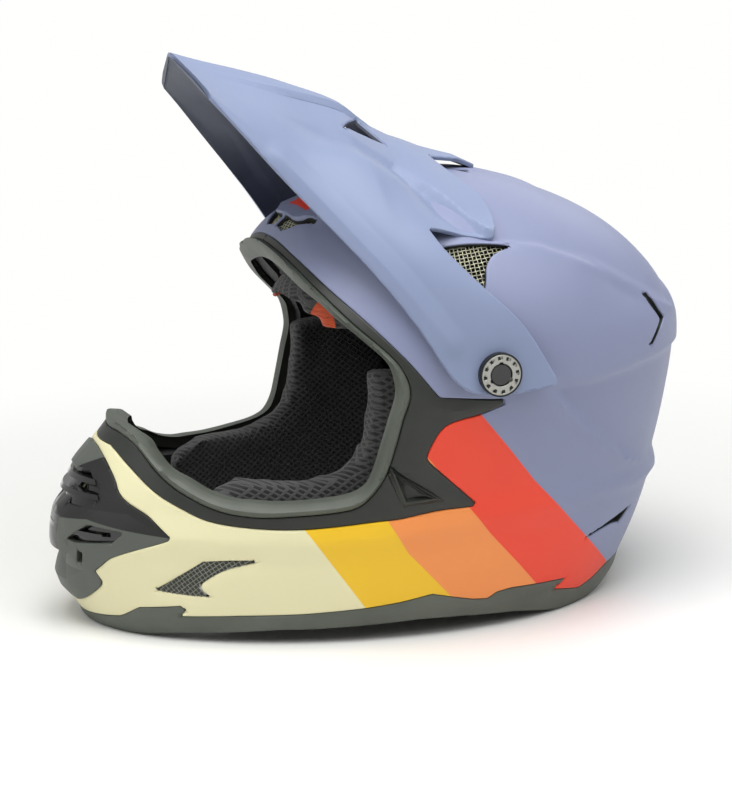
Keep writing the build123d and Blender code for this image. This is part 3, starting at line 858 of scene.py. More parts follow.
def finish_piece(
    thing: Object,
    nodes: Sequence[str] = (),
    looks: Sequence[str] = (),
    body: str = "helmet",
) -> None:
    """Gives a piece its materials, its body and the nodes that it stands for.

    Args:
        thing: The piece.
        nodes: Solids that it stands for.
        looks: Its finishes, the second one for inner faces, where it has none yet.
        body: Body that it rides on.
    """
    for look in looks:
        thing.data.materials.append(material(look))
    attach(thing, body)
    if nodes:
        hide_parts(*nodes)
    LOG.info("%s: %d faces", thing.name, len(thing.data.polygons))


# ---------------- node maths


def _sum(operation: str, swapped: bool = False) -> Callable[..., "Sock"]:
    """Method that adds one Math node.

    Args:
        operation: Operation of the node.
        swapped: Whether its own socket comes last.

    Returns:
        The method, which takes the other values.
    """

    def method(self: "Sock", *others: "Sock | float") -> "Sock":
        """Result of the operation on this socket and others.

        Args:
            *others: The other values.

        Returns:
            The result.
        """
        values = (*others, self) if swapped else (self, *others)
        node = add_node(self.tree, "ShaderNodeMath", dict(enumerate(values)), operation=operation)
        return Sock(self.tree, node.outputs[0])

    return method


class Sock:
    """A socket of a node tree that takes part in sums.

    most is the greater of two values, and angle that of the point with this one as its height
    and the other as its width.
    """

    __add__ = __radd__ = _sum("ADD")
    __sub__ = _sum("SUBTRACT")
    __rsub__ = _sum("SUBTRACT", True)
    __mul__ = __rmul__ = _sum("MULTIPLY")
    __abs__ = _sum("ABSOLUTE")
    most = _sum("MAXIMUM")
    angle = _sum("ARCTAN2")
    _root = _sum("SQRT")
    _sine = _sum("SINE")

    def __init__(self, tree: NodeTree, socket: NodeSocket) -> None:
        """Keeps the socket and its tree."""
        self.tree = tree
        self.socket = socket

    def over(self, floor: float) -> "Sock":
        """The amount above a floor, nought below it."""
        return (self - floor).most(0.0)

    def far(self, other: "Sock") -> "Sock":
        """Distance of the point with this and the other as its sides."""
        return (self * self + other * other)._root()

    def wave(self, length: float) -> "Sock":
        """Sine along this value, with one turn in a length."""
        return (self * (2 * math.pi / length))._sine()

    def step(self, low: float, high: float) -> "Sock":
        """Smooth rise from 0 at low to 1 at high.

        Args:
            low: Start of the rise.
            high: Its end.

        Returns:
            The rise.
        """
        inputs = {"Value": self, "From Min": low, "From Max": high}
        node = add_node(self.tree, "ShaderNodeMapRange", inputs, interpolation_type="SMOOTHSTEP")
        return Sock(self.tree, node.outputs["Result"])

    def past(self, place: float, soft: float = 0.1) -> "Sock":
        """1 where this value is past a place, with a soft edge."""
        return (self - place).step(-soft, soft)


def fill(node: Node, inputs: dict) -> Node:
    """Sets or links the inputs of a node.

    Args:
        node: The node.
        inputs: Value, socket or sum for each input, by name or number.

    Returns:
        The node.
    """
    for key, value in inputs.items():
        socket = node.inputs[key]
        if isinstance(value, Sock):
            value = value.socket
        if isinstance(value, NodeSocket):
            node.id_data.links.new(value, socket)
        elif socket.type == "RGBA" and len(value) == 3:
            socket.default_value = (*value, 1.0)
        else:
            socket.default_value = value
    return node


def add_node(tree: NodeTree, kind: str, inputs: dict | None = None, **settings: object) -> Node:
    """Adds a node to a tree.

    Args:
        tree: The tree.
        kind: Type of the node.
        inputs: Value, socket or sum for each input, by name or number.
        **settings: Properties of the node, set before its inputs.

    Returns:
        The node.
    """
    node = tree.nodes.new(kind)
    for key, value in settings.items():
        setattr(node, key, value)
    return fill(node, inputs or {})


class Paintwork:
    """Node tree of one material, with its Principled shader."""

    def __init__(self, name: str) -> None:
        """Makes the material and clears its tree.

        Args:
            name: Name of the material.
        """
        self.material = bpy.data.materials.new(name)
        self.material.use_nodes = True
        self.tree = self.material.node_tree
        self.tree.nodes.clear()
        self.shader = self.node("BsdfPrincipled")
        self.out = self.node("OutputMaterial", {0: self.shader.outputs[0]})
        self.coords = Sock(self.tree, self.node("TexCoord").outputs["Object"])

    def node(self, kind: str, inputs: dict | None = None, **settings: object) -> Node:
        """Adds a node, its kind given without the ShaderNode prefix."""
        return add_node(self.tree, "ShaderNode" + kind, inputs, **settings)

    def sock(self, node: Node, output: str | int = 0) -> Sock:
        """One output of a node."""
        return Sock(self.tree, node.outputs[output])

    def axes(self) -> tuple[Sock, Sock, Sock]:
        """Object coordinates as three values in millimetres."""
        node = self.node("SeparateXYZ", {0: self.coords})
        return tuple(self.sock(node, k) * 1000.0 for k in range(3))

    def noise(self, scale: float, detail: float = 2.0, stretch: Colour | None = None) -> Sock:
        """Noise from 0 to 1.

        Args:
            scale: Waves in a metre.
            detail: Octaves of finer waves.
            stretch: Scale of each axis, where they differ.

        Returns:
            The noise.
        """
        where = self.coords
        if stretch:
            where = self.sock(self.node("Mapping", {"Vector": where, "Scale": stretch}))
        return self.sock(self.node("TexNoise", {"Vector": where, "Scale": scale, "Detail": detail}))

    def cells(self, scale: float, feature: str = "F1") -> Sock:
        """Distance pattern of random cells, with a scale per metre."""
        inputs = {"Vector": self.coords, "Scale": scale}
        return self.sock(self.node("TexVoronoi", inputs, feature=feature), "Distance")

    def mix(self, mask: Sock, low: Sock | Colour, high: Sock | Colour) -> Sock:
        """Colour between two, low where the mask is 0."""
        return self.sock(self.node("Mix", {"Factor": mask, 6: low, 7: high}, data_type="RGBA"), 2)

    def dress(self, height: Sock | None = None, depth: float = 0.1, **sockets: object) -> None:
        """Fills the shader.

        Args:
            height: Relief pattern, 0 to 1.
            depth: Its depth in millimetres.
            **sockets: Values or links of the shader's inputs, spaces as underscores.
        """
        if height is not None:
            inputs = {"Distance": depth * MM, "Strength": 1.0, "Height": height}
            sockets["Normal"] = self.sock(self.node("Bump", inputs))
        fill(self.shader, {key.replace("_", " "): value for key, value in sockets.items()})


def from_screen(*levels: int) -> Colour:
    """Linear colour of the red, green and blue levels of a screen colour.

    Args:
        *levels: The levels, up to 255.

    Returns:
        The colour.
    """
    return tuple(
        v / 12.92 if v <= 0.04045 else ((v + 0.055) / 1.055) ** 2.4
        for v in (level / 255 for level in levels)
    )


def darker(colour: Colour, share: float) -> Colour:
    """A share of a colour."""
    return tuple(v * share for v in colour)


def bent_line(height: Sock, spots: Spots) -> Sock:
    """X of a line of straight runs at a height.

    Args:
        height: Height of the shaded point.
        spots: (x, z) points of the line with falling z.

    Returns:
        Its x there, the first and last run going on straight.
    """
    rows = sorted(spots, key=lambda spot: spot[1])
    slopes = [(b[0] - a[0]) / (b[1] - a[1]) for a, b in zip(rows, rows[1:])]
    total = (height - rows[0][1]) * slopes[0] + rows[0][0]
    for (x, z), before, after in zip(rows[1:-1], slopes, slopes[1:]):
        total = total + height.over(z) * (after - before)
    return total


class Finish:
    """A finish, which makes its own material."""

    def make(self, name: str) -> Material:
        """Builds the material under a name.

        Args:
            name: Name of the material.

        Returns:
            The material.
        """
        work = Paintwork(name)
        self.paint(work)
        return work.material

    def paint(self, paint: Paintwork) -> None:
        """Fills a node tree."""
        raise NotImplementedError


@dataclass(frozen=True)
class ShellPaint(Finish):
    """Matt lacquer in lavender blue, with diagonal bands low on the side of the shell.

    The bands end at lines of the side view. The brow patch is given by its front, rear, half
    width and foot.
    """

    blue: Colour = from_screen(136, 143, 174)
    cream: Colour = from_screen(229, 223, 182)
    yellow: Colour = from_screen(238, 192, 36)
    orange: Colour = from_screen(240, 146, 78)
    red: Colour = from_screen(236, 70, 46)
    cream_end: Spots = ((-61, 64), (-30, 19))
    yellow_end: Spots = ((-19, 66), (-9, 49), (17, 20))
    orange_end: Spots = ((25, 69), (36, 55), (54, 35), (67, 20))
    red_end: Spots = ((28, 121), (44, 102), (61, 81), (80, 61), (96, 44), (119, 20))
    bands_top: float = 125.0
    patch: tuple[float, float, float, float] = (-34.0, -20.0, 18.0, 213.0)
    banded: bool = True
    roughness: float = 0.42
    soft: float = 0.12

    def bands(self, paint: Paintwork, plain: Sock) -> Sock:
        """Colour of the banded shell.

        Args:
            paint: Node tree of the material.
            plain: Colour outside the bands.

        Returns:
            The colour.
        """
        x, y, z = paint.axes()
        tone = self.cream
        ends = (self.cream_end, self.yellow_end, self.orange_end)
        for spots, colour in zip(ends, (self.yellow, self.orange, self.red)):
            tone = paint.mix((x - bent_line(z, spots)).past(0.0, self.soft), tone, colour)
        behind = (x - bent_line(z, self.red_end)).past(0.0, self.soft)
        tone = paint.mix(behind.most(z.past(self.bands_top)), tone, plain)
        front, rear, wide, foot = self.patch
        inside = x.past(front) * (rear - x).past(0.0) * (wide - abs(y)).past(0.0) * z.past(foot)
        return paint.mix(inside, tone, self.red)

    def paint(self, paint: Paintwork) -> None:
        """Fills a node tree.

        Args:
            paint: The tree.
        """
        tone = paint.mix(paint.noise(9.0, 3.0).step(0.3, 0.7), self.blue, darker(self.blue, 0.93))
        if self.banded:
            tone = self.bands(paint, tone)
        grain = paint.noise(2600.0)
        fleck = paint.noise(420.0, 4.0)
        paint.dress(
            grain * 0.5 + fleck * 0.5, 0.035, Base_Color=tone, Roughness=self.roughness + 0.10 * fleck,
            Specular_IOR_Level=0.38, Coat_Weight=0.08, Coat_Roughness=0.5,
        )


@dataclass(frozen=True)
class Moulded(Finish):
    """Moulded plastic or rubber with a fine grain."""

    colour: Colour
    roughness: float = 0.5
    grain: float = 1400.0
    depth: float = 0.05
    coat: float = 0.0

    def paint(self, paint: Paintwork) -> None:
        """Fills a node tree.

        Args:
            paint: The tree.
        """
        fine = paint.noise(self.grain, 3.0)
        pale = tuple(min(1.0, v * 1.25 + 0.004) for v in self.colour)
        tone = paint.mix(paint.noise(30.0, 3.0).step(0.35, 0.75), self.colour, pale)
        rough = self.roughness - 0.06 + 0.14 * fine
        paint.dress(
            fine, self.depth, Base_Color=tone, Roughness=rough, Coat_Weight=self.coat, Coat_Roughness=0.08
        )


@dataclass(frozen=True)
class CoverPlastic(Finish):
    """Plastic of the chin cover: grey hood and lower frame, dark grained sides and a glossy nose.

    In the front view, the hood's foot and the frame's top are lines given by a distance from the
    middle, the height there and slopes; the nose by its half width and its foot.
    """

    grey: Colour = from_screen(84, 88, 82)
    dark: Colour = from_screen(15, 17, 15)
    hood: Triple = (6.0, 84.5, 0.53)
    frame: tuple[float, float, float, float] = (33.0, 63.0, 0.165, 0.143)
    nose: tuple[float, float] = (12.5, 41.2)
    soft: float = 0.3

    def paint(self, paint: Paintwork) -> None:
        """Fills a node tree.

        Args:
            paint: The tree.
        """
        _, y, z = paint.axes()
        wide = abs(y)
        place, height, slope = self.hood
        under_hood = (z - (height + slope * (wide - place))).step(0.35, -0.35)
        place, height, outer, inner = self.frame
        top = height - outer * (wide - place).over(0.0) - inner * (place - wide).over(0.0)
        nose = (self.nose[0] - wide).past(0.0, self.soft) * z.past(self.nose[1], self.soft)
        tone = paint.mix(under_hood * (z - top).past(0.0, self.soft).most(nose), self.grey, self.dark)
        gloss = under_hood * nose
        fine = paint.noise(2200.0, 3.0)
        rough = 0.44 + 0.12 * fine - 0.32 * gloss
        paint.dress(fine * (1.0 - gloss), 0.04, Base_Color=tone, Roughness=rough)


@dataclass(frozen=True)
class DimpledScrew(Finish):
    """Head of the pivot screw: a bright ring with dark dimples round a dark middle."""

    dark: Colour = from_screen(44, 45, 46)
    bright: Colour = from_screen(172, 172, 166)
    count: int = 12
    ring: Span = (5.9, 10.3)
    circle: float = 8.6
    radius: float = 0.9

    def paint(self, paint: Paintwork) -> None:
        """Fills a node tree.

        Args:
            paint: The tree.
        """
        x, _, z = paint.axes()
        x, z = x - PIVOT[0], z - PIVOT[1]
        reach = x.far(z)
        dimple = z.angle(x).wave(2 * math.pi / self.count).step(0.3, 0.7)
        dimple = dimple * (1.0 - (abs(reach - self.circle) - self.radius).step(-0.15, 0.15))
        low, high = self.ring
        mask = reach.past(low, 0.2) * (high - reach).past(0.0, 0.2) * (1.0 - dimple)
        tone = paint.mix(mask, self.dark, self.bright)
        rough = 0.3 + 0.12 * paint.noise(1600.0)
        paint.dress(mask, 0.3, Base_Color=tone, Metallic=0.75, Roughness=rough)


@dataclass(frozen=True)
class Foam(Finish):
    """Moulded foam of pressed beads."""

    colour: Colour = (0.02, 0.02, 0.022)
    beads: float = 330.0

    def paint(self, paint: Paintwork) -> None:
        """Fills a node tree.

        Args:
            paint: The tree.
        """
        seam = paint.cells(self.beads, "DISTANCE_TO_EDGE").step(0.0, 0.12)
        tone = paint.mix(seam, darker(self.colour, 0.4), self.colour)
        paint.dress(seam, 0.35, Base_Color=tone, Roughness=0.72)


@dataclass(frozen=True)
class SpacerMesh(Finish):
    """Knitted spacer fabric: a lattice of threads round open cells.

    A patch colour is shown ahead of, above and outside the three places of its edge.
    """

    thread: Colour = (0.05, 0.052, 0.05)
    hollow: Colour = (0.004, 0.004, 0.004)
    pitch: float = 3.6
    patch: Colour | None = None
    patch_edge: Triple = (-31.0, 41.0, 160.0)

    def paint(self, paint: Paintwork) -> None:
        """Fills a node tree.

        Args:
            paint: The tree.
        """
        x, y, z = paint.axes()
        lean = 0.75 * x + 0.35 * y
        wall = (lean + z).wave(self.pitch).most((lean - z).wave(self.pitch)).step(0.1, 0.75)
        tone = paint.mix(wall, self.hollow, self.thread)
        if self.patch:
            rear, wide, foot = self.patch_edge
            inside = abs(y).past(wide, 0.3) * z.past(foot, 0.3) * (rear - x).past(0.0, 0.3)
            tone = paint.mix(inside, tone, self.patch)
        fuzz = paint.noise(5200.0)
        rough = 0.8 + 0.1 * fuzz
        paint.dress(
            wall + fuzz * 0.12, 0.7, Base_Color=tone, Roughness=rough, Sheen_Weight=0.25, Sheen_Roughness=0.5
        )


@dataclass(frozen=True)
class Cloth(Finish):
    """Close woven or brushed fabric."""

    colour: Colour
    rib: float = 0.0
    scale: float = 1500.0

    def paint(self, paint: Paintwork) -> None:
        """Fills a node tree.

        Args:
            paint: The tree.
        """
        x, y, z = paint.axes()
        weave = fine = paint.cells(self.scale)
        if self.rib:
            along = (y + z).wave(self.rib * 1.3) * 0.2 + 0.2
            weave = (x.wave(self.rib) * 0.5 + 0.5) * 0.6 + along + fine * 0.3
        tone = paint.mix(weave.step(0.2, 0.9), darker(self.colour, 0.55), self.colour)
        rough = 0.85 + 0.08 * fine
        paint.dress(
            weave, 0.25, Base_Color=tone, Roughness=rough, Sheen_Weight=0.3, Sheen_Roughness=0.4
        )


@dataclass(frozen=True)
class Metal(Finish):
    """Turned or rolled metal."""

    colour: Colour
    roughness: float = 0.28
    metallic: float = 1.0

    def paint(self, paint: Paintwork) -> None:
        """Fills a node tree.

        Args:
            paint: The tree.
        """
        streak = paint.noise(900.0, 3.0, (1.0, 1.0, 6.0))
        tone = paint.mix(paint.noise(140.0).step(0.3, 0.7), darker(self.colour, 0.8), self.colour)
        rough = self.roughness - 0.05 + 0.15 * streak
        paint.dress(streak, 0.02, Base_Color=tone, Metallic=self.metallic, Roughness=rough)


FINISHES: dict[str, Finish] = {
    "painted_shell": ShellPaint(),
    "visor_plastic": ShellPaint(blue=from_screen(133, 145, 176), banded=False, roughness=0.45),
    "black_plastic": Moulded(from_screen(31, 34, 29), 0.42, 2200.0, 0.04),
    "chin_cover": CoverPlastic(),
    "gloss_black": Moulded(from_screen(16, 17, 18), 0.12, 500.0, 0.01, 0.6),
    "grey_rubber": Moulded(from_screen(78, 83, 75), 0.5, 2600.0, 0.03),
    "foam": Foam(),
    "mesh": Metal((0.32, 0.32, 0.29), 0.38, 0.7),
    "black_fabric": SpacerMesh(),
    "orange_fabric": Cloth(from_screen(232, 92, 42)),
    "webbing": Cloth((0.02, 0.02, 0.021), rib=1.6),
    "aluminium": DimpledScrew(),
    "screw_cap": Moulded(from_screen(16, 17, 18), 0.16, 500.0, 0.01, 0.6),
    "red_aluminium": Metal((0.62, 0.04, 0.03), 0.3),
    "brass": Metal((0.60, 0.45, 0.20), 0.35),
    "steel": Metal((0.50, 0.50, 0.50), 0.25),
    # Darker blue-grey for the visor's underside and window walls: painted shade, the same plastic as the top
    # seen in shadow.
    "visor_underside_painted_shade": Moulded(from_screen(84, 89, 103), 0.55),
    "wire": Metal(from_screen(190, 190, 165), 0.4, 0.6),
    "vent_mesh": Moulded(from_screen(122, 124, 112), 0.5),
    "thread": Cloth((0.05, 0.05, 0.05)),
    "forehead": SpacerMesh(patch=from_screen(214, 84, 40)),
}


@cache
def material(name: str) -> Material:
    """Material of a name, made when it is first asked for."""
    return FINISHES[name].make(name)


# ---------------- outlines of the pieces

SURROUND = Outline((
    (-52, 204), (-50, 199), (-40.5, 185), (-25, 168), (-8, 149), (3, 135), (6, 131.5), (40, 128),
    (40, 125), (28, 121), (13, 117.5), (7, 113.5), (0.5, 101), (1, 98), (8, 91), (27, 73),
    (26, 71), (5, 70), (-14, 67), (-24, 66.5), (-61, 63.5), (-85, 64), (-106, 67), (-119, 73),
    (-130, 80), (-140, 91), (-146, 99), (-175, 101), (-175, 235), (-61, 228),
), (0, 6, 7, 8, 15, 16, 26, 27, 28, 29))
SEAL_OUTER = Outline((
    (-55, 201), (-52.5, 196), (-45.5, 184.5), (-33, 169), (-16, 152), (-10, 142), (-8.5, 133),
    (-12, 121), (-16, 105), (-21, 90), (-30, 78), (-38, 73.5), (-67, 70.5), (-85, 70),
    (-102, 73), (-118, 81), (-127, 89), (-136, 102), (-141, 105.5), (-175, 107), (-175, 235),
    (-64, 227),
), (0, 18, 19, 20, 21))
SEAL_INNER = Outline((
    (-58, 194.5), (-54.5, 188), (-47.5, 180), (-41, 172), (-27, 158), (-19, 149), (-16.5, 140),
    (-16, 132), (-19, 120), (-24, 101), (-27, 91), (-31, 84), (-39, 80), (-53, 78), (-73, 77),
    (-87, 78), (-96, 79), (-107, 83), (-116, 89), (-124, 94), (-129.5, 102), (-132, 108),
    (-137, 111), (-175, 112), (-175, 235), (-68, 226),
), (0, 22, 23, 24, 25))
TRIM_TOP = (
    (-200, 6), (-163, 6), (-148, 10), (-140, 17), (-121, 20), (-118, 18), (-121, 14), (-92, 16),
    (-61, 17), (-30, 19), (-12, 21), (5, 24), (28, 18), (37, 17), (42, 20), (51, 21), (70, 20),
    (87, 19), (79, 14), (98, 9.5), (108, 12), (115, 15), (120, 17), (127, 17.5), (210, 17),
)
TRIM_FOOT = (
    (210, 10), (170, 10), (137, 7), (122, 2), (108, 0), (84, 0), (55, 6), (20, 9), (-1, 10),
    (-61, 8), (-73, 8), (-121, 4), (-140, 0), (-200, 0),
)
TRIM = Outline(TRIM_TOP + TRIM_FOOT, tuple(range(39)))
ABOVE_TRIM = Outline(TRIM_TOP + ((210, 300), (-200, 300)), tuple(range(27)))
COVER = Outline((
    (-151, 97), (-149, 91), (-147, 84), (-146, 78), (-143, 74), (-134, 68), (-129, 63),
    (-124, 58), (-125, 56), (-132, 53), (-142, 49), (-152, 44), (-156, 40), (-160, 35),
    (-157, 30), (-157, 27), (-166, 13), (-220, 11), (-220, 101),
), (0, 7, 8, 12, 13, 15, 16, 17, 18))
COVER_WINDOWS = (
    Outline(((11, 83.5), (19, 85), (31, 78.5), (33, 72), (25, 68), (11, 68)), tuple(range(6)), View.FRONT),
    Outline(((20, 50), (33, 60), (50, 58.5), (45, 52), (26, 49)), tuple(range(5)), View.FRONT),
    Outline(((27.5, 45.5), (30.5, 44), (29.5, 38.5), (26, 38)), tuple(range(4)), View.FRONT),
)
SIDE_VENT = Outline((
    (-133, 28), (-110, 45.5), (-98, 46.6), (-85, 47), (-86, 45.5), (-100, 41), (-111, 33),
    (-111, 30), (-107, 26), (-115, 26), (-126, 27),
), (0, 1, 3, 4, 7, 8))
MESH_VENT = Outline((
    (14, 204.5), (33, 206), (53, 203.5), (41, 200), (36, 195), (34.5, 190), (33, 184.5), (27, 191),
    (20, 198),
), (0, 2, 6))
REAR_SLOT = Outline(
    ((136, 171), (140, 171), (152, 155), (140, 143), (136, 143), (147, 155)), (0, 1, 2, 3, 4, 5)
)
LOW_SLOT = Outline(
    ((91, 38.5), (117, 43.5), (126, 42), (133, 47.5), (135, 49.5), (117, 46)), (0, 2, 4, 5)
)
BROW_VENT = Outline((
    (-47.8, 15), (-46.8, 1.4), (-41, 1.4), (-40.9, 17.5), (-38.7, 23), (-35.5, 28), (-32.7, 37),
    (-34.5, 37.5), (-40.5, 26.5), (-44.5, 21),
), (0, 1, 2, 3, 6, 7), View.TOP)
BROW_HOOD = ((2.5, -41.0), (17.5, -40.9), (28.0, -35.5), (37.0, -32.7))
CROWN_SLOT = Outline(((47, 15), (62, 17), (54, 24)), (0, 1, 2), View.TOP)
VISOR_BEHIND = Outline((
    (8, 216), (30, 213), (49, 209), (68, 209), (68, 290), (130, 290), (130, 90), (67, 90),
    (66.5, 138), (50, 166), (31, 186), (14, 205),
), (0, 2, 3, 4, 5, 6, 7, 8))
VISOR_LOBES = Outline((
    (120, 7), (69, 7), (36, 25), (48, 62), (49, 80), (46, 93), (39, 108), (120, 108),
), (0, 1, 2, 5, 6, 7), View.TOP, 205.0)
VISOR_WINDOW = Outline(((-15, 33.5), (-2, 14.5), (13, 28)), (0, 1, 2), View.TOP, 0.0)

LONG_CREASE = (
    (-172, 50), (-124, 57), (-85, 57), (-53, 57), (-13, 59), (30, 64), (79, 65), (106, 67), (136, 66),
    (175, 66),
)
UPPER_CREASE = ((184, 139), (157, 138), (138, 137), (116, 135), (94, 133), (71, 134), (60, 138))
WAIST_EDGE = ((60, 138), (73, 123), (78, 117), (89, 107), (104, 94), (119, 83), (153, 70), (180, 67))
ROOF_EDGE = ((22, 205), (47, 207), (70, 203), (105, 189), (131, 175), (150, 165), (168, 156))
TRIANGLE = ((-17.5, 94), (5.5, 77.5), (-10.5, 76))
TRIANGLE_INSIDE = Outline(TRIANGLE, (0, 1, 2))
PIVOT = (35.0, 143.0)
VENTS = (SIDE_VENT, MESH_VENT, REAR_SLOT, LOW_SLOT, BROW_VENT, CROWN_SLOT)


def along(points: Array, spots: Spots) -> Array:
    """Signed distance of side-view points to a line, positive on its left."""
    return line_gap(points[:, [0, 2]], np.array(spots, float))[0]


def outside(depth: Array, holes: Iterable[Outline], point: Array) -> Array:
    """Depth inside a shape, less its holes.

    Args:
        depth: Depth inside the plain shape.
        holes: Outlines of the holes.
        point: The points.

    Returns:
        The depth that is left.
    """
    for hole in holes:
        depth = np.minimum(depth, -hole.depth(point))
    return depth


def brow_drop(points: Array) -> Array:
    """How far the tip of the brow lies under the plain form."""
    return 2.8 * ease(-points[:, 0], 40, 60) * ease(points[:, 2], 182, 196)


@dataclass(frozen=True)
class Ridge:
    """A straight-sided ridge along a line of the side view."""

    line: Spots
    rise: float
    reach: float

    def height(self, point: Array) -> Array:
        """Height of the ridge at points."""
        return self.rise * np.clip(1 - np.abs(along(point, self.line)) / self.reach, 0, 1)


# ---------------- hard pieces


@dataclass
class HardShell:
    """Outer shell with the surround and seal of its eyeport and its rubber edge.

    Pairs of numbers are the places between which a relief comes in or goes out.
    """

    form: ShellForm
    wall: float = 3.0
    deepest: float = -3.3
    crease: Ridge = Ridge(LONG_CREASE, 2.0, 13.0)
    crease_front: Span = (-120, -60)
    lip: Ridge = Ridge(LONG_CREASE, 2.4, 7.0)
    lip_front: Span = (70, 135)
    waist_depth: float = 3.4
    waist_front: Span = (54, 68)
    roof_drop: float = 3.0
    roof_front: Span = (18, 50)
    roof_rear: Span = (158, 176)
    roof_ridge: Ridge = Ridge(ROOF_EDGE, 1.6, 5.0)
    waist_fold: Ridge = Ridge(WAIST_EDGE, 1.8, 6.0)
    hood_rise: float = 1.8
    vent_sink: float = 0.9
    back_drop: float = 5.5
    side_fold: Ridge = Ridge(
        ((-56, 190), (-20, 152), (-2, 131), (-6, 112), (-10, 98), (0, 84), (27, 72)), 1.0, 9.0
    )
    spike_fold: Ridge = Ridge(((0, 128), (14, 124), (40, 126.5)), 0.9, 5.0)
    frame_rise: float = 1.7
    frame_sink: float = 1.4
    seal_peak: float = 0.45
    seal_rise: float = 2.4
    seal_fall: float = 2.6
    belly: float = 0.9
    nick_pitch: float = 4.2
    nick_row: Triple = (60.0, 84.0, 16.6)

    def shape(self, point: Array) -> Array:
        """Depth inside the painted shell."""
        return outside(ABOVE_TRIM.depth(point), (SURROUND, COVER, *VENTS), point)

    def relief(self, point: Array) -> Array:
        """Height over the plain form.

        Args:
            point: Points of the form.

        Returns:
            The height of the creases, waist, roof step, vents and folds there.
        """
        x, y, z = point.T
        rise = self.crease.height(point) * ease(-x, *self.crease_front)
        rise += self.lip.height(point) * ease(x, *self.lip_front)
        waist = np.clip(along(point, UPPER_CREASE) / 5.0, 0, 1) * ease(along(point, WAIST_EDGE), -2, 6)
        waist *= 0.35 + 0.65 * ease(np.abs(y), 20, 60)
        rise -= self.waist_depth * waist * ease(x, *self.waist_front) * (z > 60)
        off = along(point, ROOF_EDGE)
        below = ease(off, -2.0, 2.5) * (1 - ease(off, 6, 70))
        roof_end = 1 - ease(x, *self.roof_rear)
        rise -= self.roof_drop * below * ease(x, *self.roof_front) * roof_end * (z > 120)
        behind = x - np.interp(np.abs(y), *np.transpose(BROW_HOOD))
        hood = np.clip(1 + BROW_VENT.depth(point) / 10.0, 0, 1) * (z > 150) * ease(behind, -0.4, 0.4)
        hollow = np.clip(1 + SIDE_VENT.depth(point) / 3.5, 0, 1) * (x < -80)
        rise += self.hood_rise * hood - self.vent_sink * hollow
        rise -= self.back_drop * ease(x, 85, 130) * ease(z, 150, 190) * (1 - ease(z, 222, 236))
        rise = np.maximum(rise - brow_drop(point), self.deepest)
        ridge = self.roof_ridge.height(point) * ease(x, 75, 110) * roof_end * (z > 120)
        fold = self.waist_fold.height(point) * ease(x, 60, 72) * ease(z, 66, 80) * (z < 140)
        return rise + ridge + fold

    def surround_relief(self, point: Array) -> Array:
        """Facets of the black surround and the raised frame low on its side.

        Args:
            point: Points of the form.

        Returns:
            Heights over it.
        """
        frame_gap = np.abs(line_gap(point[:, [0, 2]], np.array(TRIANGLE, float), True)[0])
        rise = self.frame_rise * np.clip(1.25 - frame_gap / 1.5, 0, 1)
        rise -= self.frame_sink * ease(TRIANGLE_INSIDE.depth(point), 0.6, 1.4)
        rise += self.side_fold.height(point)
        rise += self.spike_fold.height(point) * ease(point[:, 0], -4, 6)
        return rise - 0.3 - brow_drop(point)

    def frame_lines(self) -> tuple[Array, ...]:
        """Ridge and feet of the raised triangle on the shell's plan.

        Returns:
            Lines on the plan.
        """
        spots = np.array(TRIANGLE + TRIANGLE[:1], float)
        middle = spots[:3].mean(axis=0)
        sizes = (0.68, 0.88, 1.08, 1.38)
        return tuple(on_plan(self.form, middle + (spots - middle) * size, range(4)) for size in sizes)

    def seal_relief(self, point: Array) -> Array:
        """Two-sided section of the rubber seal, highest along its middle.

        Args:
            point: Points of the form.

        Returns:
            Heights over it.
        """
        outer = SEAL_OUTER.depth(point)
        share = outer / np.maximum(outer - SEAL_INNER.depth(point), 0.1)
        peak = self.seal_peak
        rise = np.where(share < peak, share / peak, (1 - share) / (1 - peak))
        fall = self.seal_fall * ease(share, peak, 1.0)
        return self.seal_rise * np.clip(rise, 0, 1) - fall - brow_drop(point)

    def trim_relief(self, point: Array) -> Array:
        """Round belly of the rubber edge and its small recesses.

        Args:
            point: Points of the form.

        Returns:
            Heights over it.
        """
        x, _, z = point.T
        front, rear, height = self.nick_row
        nicks = np.abs(((x - 66.0) / self.nick_pitch) % 1.0 - 0.5) < 0.28
        row = (x > front) & (x < rear) & (np.abs(z - height) < 1.2)
        return self.belly * (ease(TRIM.depth(point), 0.5, 6.0) - (nicks & row))

    def build(self) -> None:
        """Makes and dresses the pieces."""
        paint, black, grey = "painted_shell", "black_plastic", "grey_rubber"
        creases = tuple(on_plan(self.form, line) for line in (LONG_CREASE, UPPER_CREASE))
        shell = Cut(self.form, self.shape, self.relief, wall=self.wall, creases=creases, lined=VENTS)
        # The black second finish covers the shell's inner faces and, as painted shade, the rim walls inside
        # the vents.
        finish_piece(shell.build("shell"), ["outer_shell"], [paint, black])
        surround = Cut(
            self.form, lambda point: outside(SURROUND.depth(point), [SEAL_OUTER], point),
            self.surround_relief, wall=self.wall, gap=2.0, sharp=16.0, creases=self.frame_lines(),
        )
        finish_piece(surround.build("surround"), ["eyeport_surround"], [black, black])
        seal = Cut(
            self.form, lambda point: outside(SEAL_OUTER.depth(point), [SEAL_INNER], point),
            self.seal_relief, wall=7.0, edge=1.2, gap=2.0, ledges=(0.4, 1.0, 2.0, 3.2),
        )
        finish_piece(seal.build("seal"), ["eyeport_seal"], [grey, grey])
        trim = Cut(self.form, TRIM.depth, self.trim_relief, proud=0.3, wall=5.0, edge=1.0, gap=2.2)
        finish_piece(trim.build("edge_trim"), ["base_trim"], [grey, grey])


